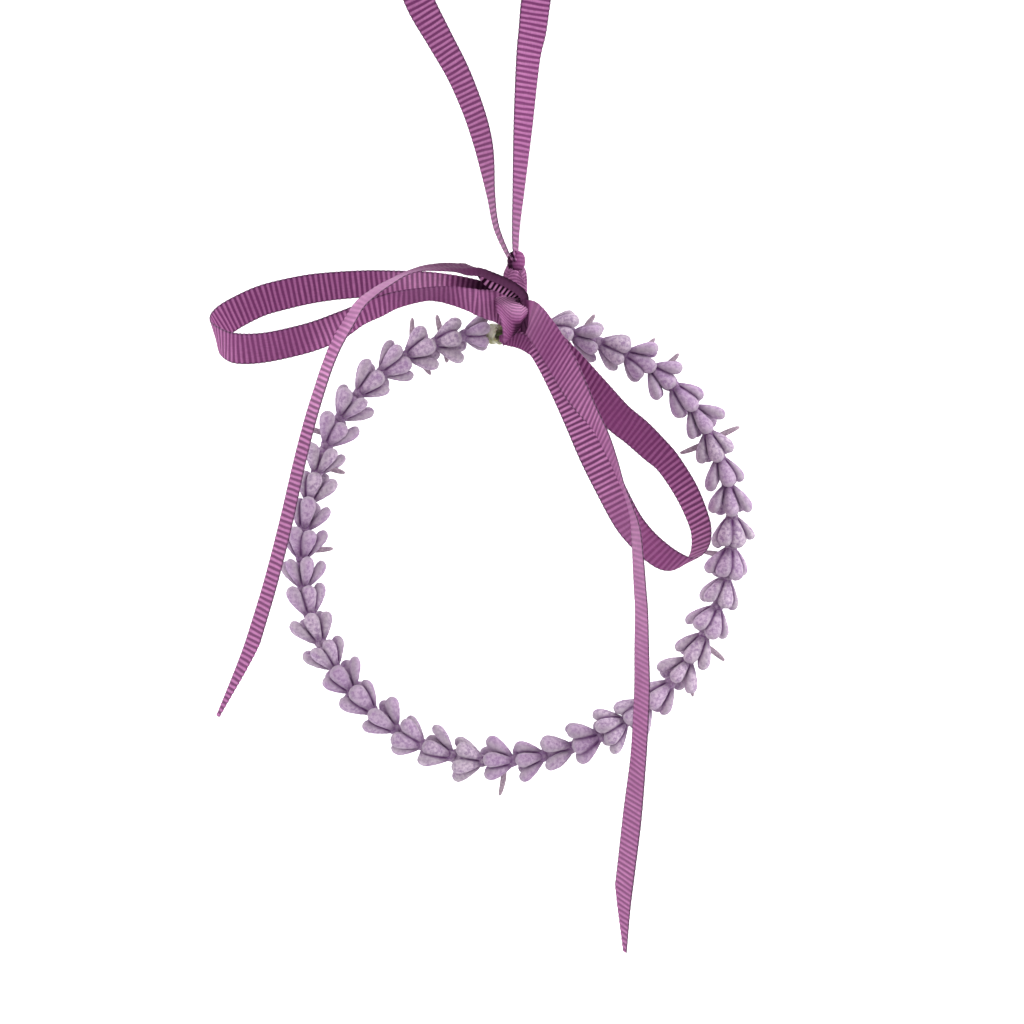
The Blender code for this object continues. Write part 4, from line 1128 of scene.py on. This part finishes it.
def build_bead(material):
    """The small overhand knot: a rounded bead of ribbon with faint level ribs and a fold at its left, painted
    in shade there, on its left side and underneath.
    """
    verts = []
    crests = []
    shades = []
    polar_start, polar_span = BEAD_POLAR_RANGE
    bright, left_loss, under_loss = BEAD_SHADE
    for row in range(BEAD_ROWS):
        polar = math.pi * (polar_start + polar_span * row / (BEAD_ROWS - 1))
        for k in range(BEAD_SIDES):
            turn = 2.0 * math.pi * k / BEAD_SIDES
            # Square shoulders rather than a plain ball, and a fold that runs down the left of its face
            shoulder = math.sin(polar) ** BEAD_SHOULDER_POWER
            way = (math.cos(turn), math.sin(turn))
            height = math.cos(polar)
            fold_place = BEAD_FOLD_PLACE + BEAD_FOLD_SWING * height
            fold = math.exp(-(((turn - fold_place) / BEAD_FOLD_WIDTH) ** 2))
            ribs_down = height * BEAD_RADII[2] / BEAD_RIB_PITCH
            rib = 0.5 + 0.5 * math.cos(2.0 * math.pi * ribs_down + BEAD_RIB_WAVE * way[1])
            reach = shoulder * (1.0 - BEAD_FOLD_DEPTH * fold + BEAD_RIB_RELIEF * rib)
            reach *= 1.0 + BEAD_UNEVENNESS * math.sin(2.0 * turn + 1.0) * math.sin(polar)
            verts.append(KNOT_CENTRE + MM * Vector((
                BEAD_CENTRE[0] + BEAD_RADII[0] * reach * way[0],
                BEAD_CENTRE[1] + BEAD_RADII[1] * reach * way[1],
                BEAD_CENTRE[2] + BEAD_RADII[2] * height,
            )))
            crests.append(rib)
            # Painted shade on the left side, in the fold and underneath
            left = smooth_step(*BEAD_LEFT_RANGE, way[0])
            under = smooth_step(*BEAD_UNDER_RANGE, height)
            shades.append(bright - left_loss * max(left, fold) - under_loss * under)
    faces = tube_faces(0, BEAD_ROWS, BEAD_SIDES)
    piece = mesh_piece("small_knot", verts, faces, [material])
    count = len(verts)
    put_attributes(
        piece,
        crest=crests,
        selvage=np.zeros(count),
        across=[vert.x / MM for vert in verts],
        along=[vert.z / MM for vert in verts],
        contrast=np.full(count, BEAD_CONTRAST),
        shade=np.clip(shades, BEAD_DARKEST, 1.0),
    )
    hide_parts("hanging_ribbon")


def build_knots(material):
    shadowed = looks_along(*SHADOWED_LOOKS)
    for name, route, node, swoop, fold, looks, seed in (
        ("bow_knot", KNOT_WRAP, "bow_ribbon", knot_swoop, pillow_fold, knot_looks, 6.0),
        ("bow_knot_tuck", KNOT_TUCK, "bow_ribbon", None, None, shadowed, 6.5),
        ("bow_knot_lobe", KNOT_LOBE, "bow_ribbon", None, pillow_fold, looks_along(*LOBE_LOOKS), 6.8),
        ("bow_strap", STRAP, "bow_ribbon", None, pillow_fold, shadowed, 7.0),
        ("neck", NECK, "hanging_ribbon", neck_swoop, neck_fold, looks_along(*NECK_LOOKS), 8.0),
    ):
        piece, _, _ = woven_strip(
            name, route, material, swoop=swoop, fold=fold, looks=looks, seed=seed, pitch=KNOT_PITCH,
            edging=KNOT_EDGING,
        )
        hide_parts(node)
    build_bead(material)


def sheet(name, profile, colour, glow):
    """A broad sheet of paper along a profile of y and z."""
    verts = []
    for y, z in profile:
        verts += [(-STAGE_HALF_WIDTH, y, z), (STAGE_HALF_WIDTH, y, z)]
    faces = [(2 * k, 2 * k + 1, 2 * k + 3, 2 * k + 2) for k in range(len(profile) - 1)]
    material, _, shader = shader_nodes(name)
    set_inputs(
        shader, {"Base Color": colour, "Roughness": 1.0, "Emission Color": WHITE, "Emission Strength": glow}
    )
    return mesh_object(name, verts, faces, [material])


def make_backdrop():
    """A pale floor and a bright wall behind, joined by a sweep."""
    sweep = []
    for step in range(SWEEP_STEPS + 1):
        angle = math.radians(90.0 * step / SWEEP_STEPS)
        y = WALL_DISTANCE - SWEEP_RADIUS + SWEEP_RADIUS * math.sin(angle)
        sweep.append((y, FLOOR_HEIGHT + SWEEP_RADIUS - SWEEP_RADIUS * math.cos(angle)))
    floor = sheet("floor", [(FLOOR_FRONT, FLOOR_HEIGHT), sweep[0]], FLOOR_COLOUR, 0.0)
    wall = sheet("wall", sweep + [(WALL_DISTANCE, WALL_TOP)], WALL_COLOUR, WALL_GLOW)


def area_light(name, place, size, power):
    data = bpy.data.lights.new(name, "AREA")
    data.shape = "RECTANGLE"
    data.size, data.size_y = size
    data.energy = power
    light = bpy.data.objects.new(name, data)
    light.location = place
    light.rotation_euler = (Vector(LIGHT_TARGET) - Vector(place)).to_track_quat("-Z", "Y").to_euler()
    bpy.context.scene.collection.objects.link(light)


def make_light():
    world = bpy.data.worlds.new("studio")
    bpy.context.scene.world = world
    world.use_nodes = True
    background = world.node_tree.nodes["Background"]
    set_inputs(background, {"Color": WHITE, "Strength": WORLD_STRENGTH})
    for name, (place, size, power) in LIGHTS.items():
        area_light(name, place, size, power)
    bpy.context.scene.view_settings.view_transform = "Standard"


def main():
    make_camera()
    grosgrain = ribbon_material()
    build_ribbons(grosgrain)
    build_knots(grosgrain)
    flock = [flock_material(), two_tone_material("dry_bract")]
    draw = random.Random(SEED)
    shape = random.Random(SEED + 1)
    for number, clock in enumerate(whorl_clocks(), start=1):
        build_whorl(number, clock, draw, shape, flock)
    build_stem_end(two_tone_material("stem_end"))
    dress_wire(two_tone_material("coated_wire"))
    make_backdrop()
    make_light()


main()
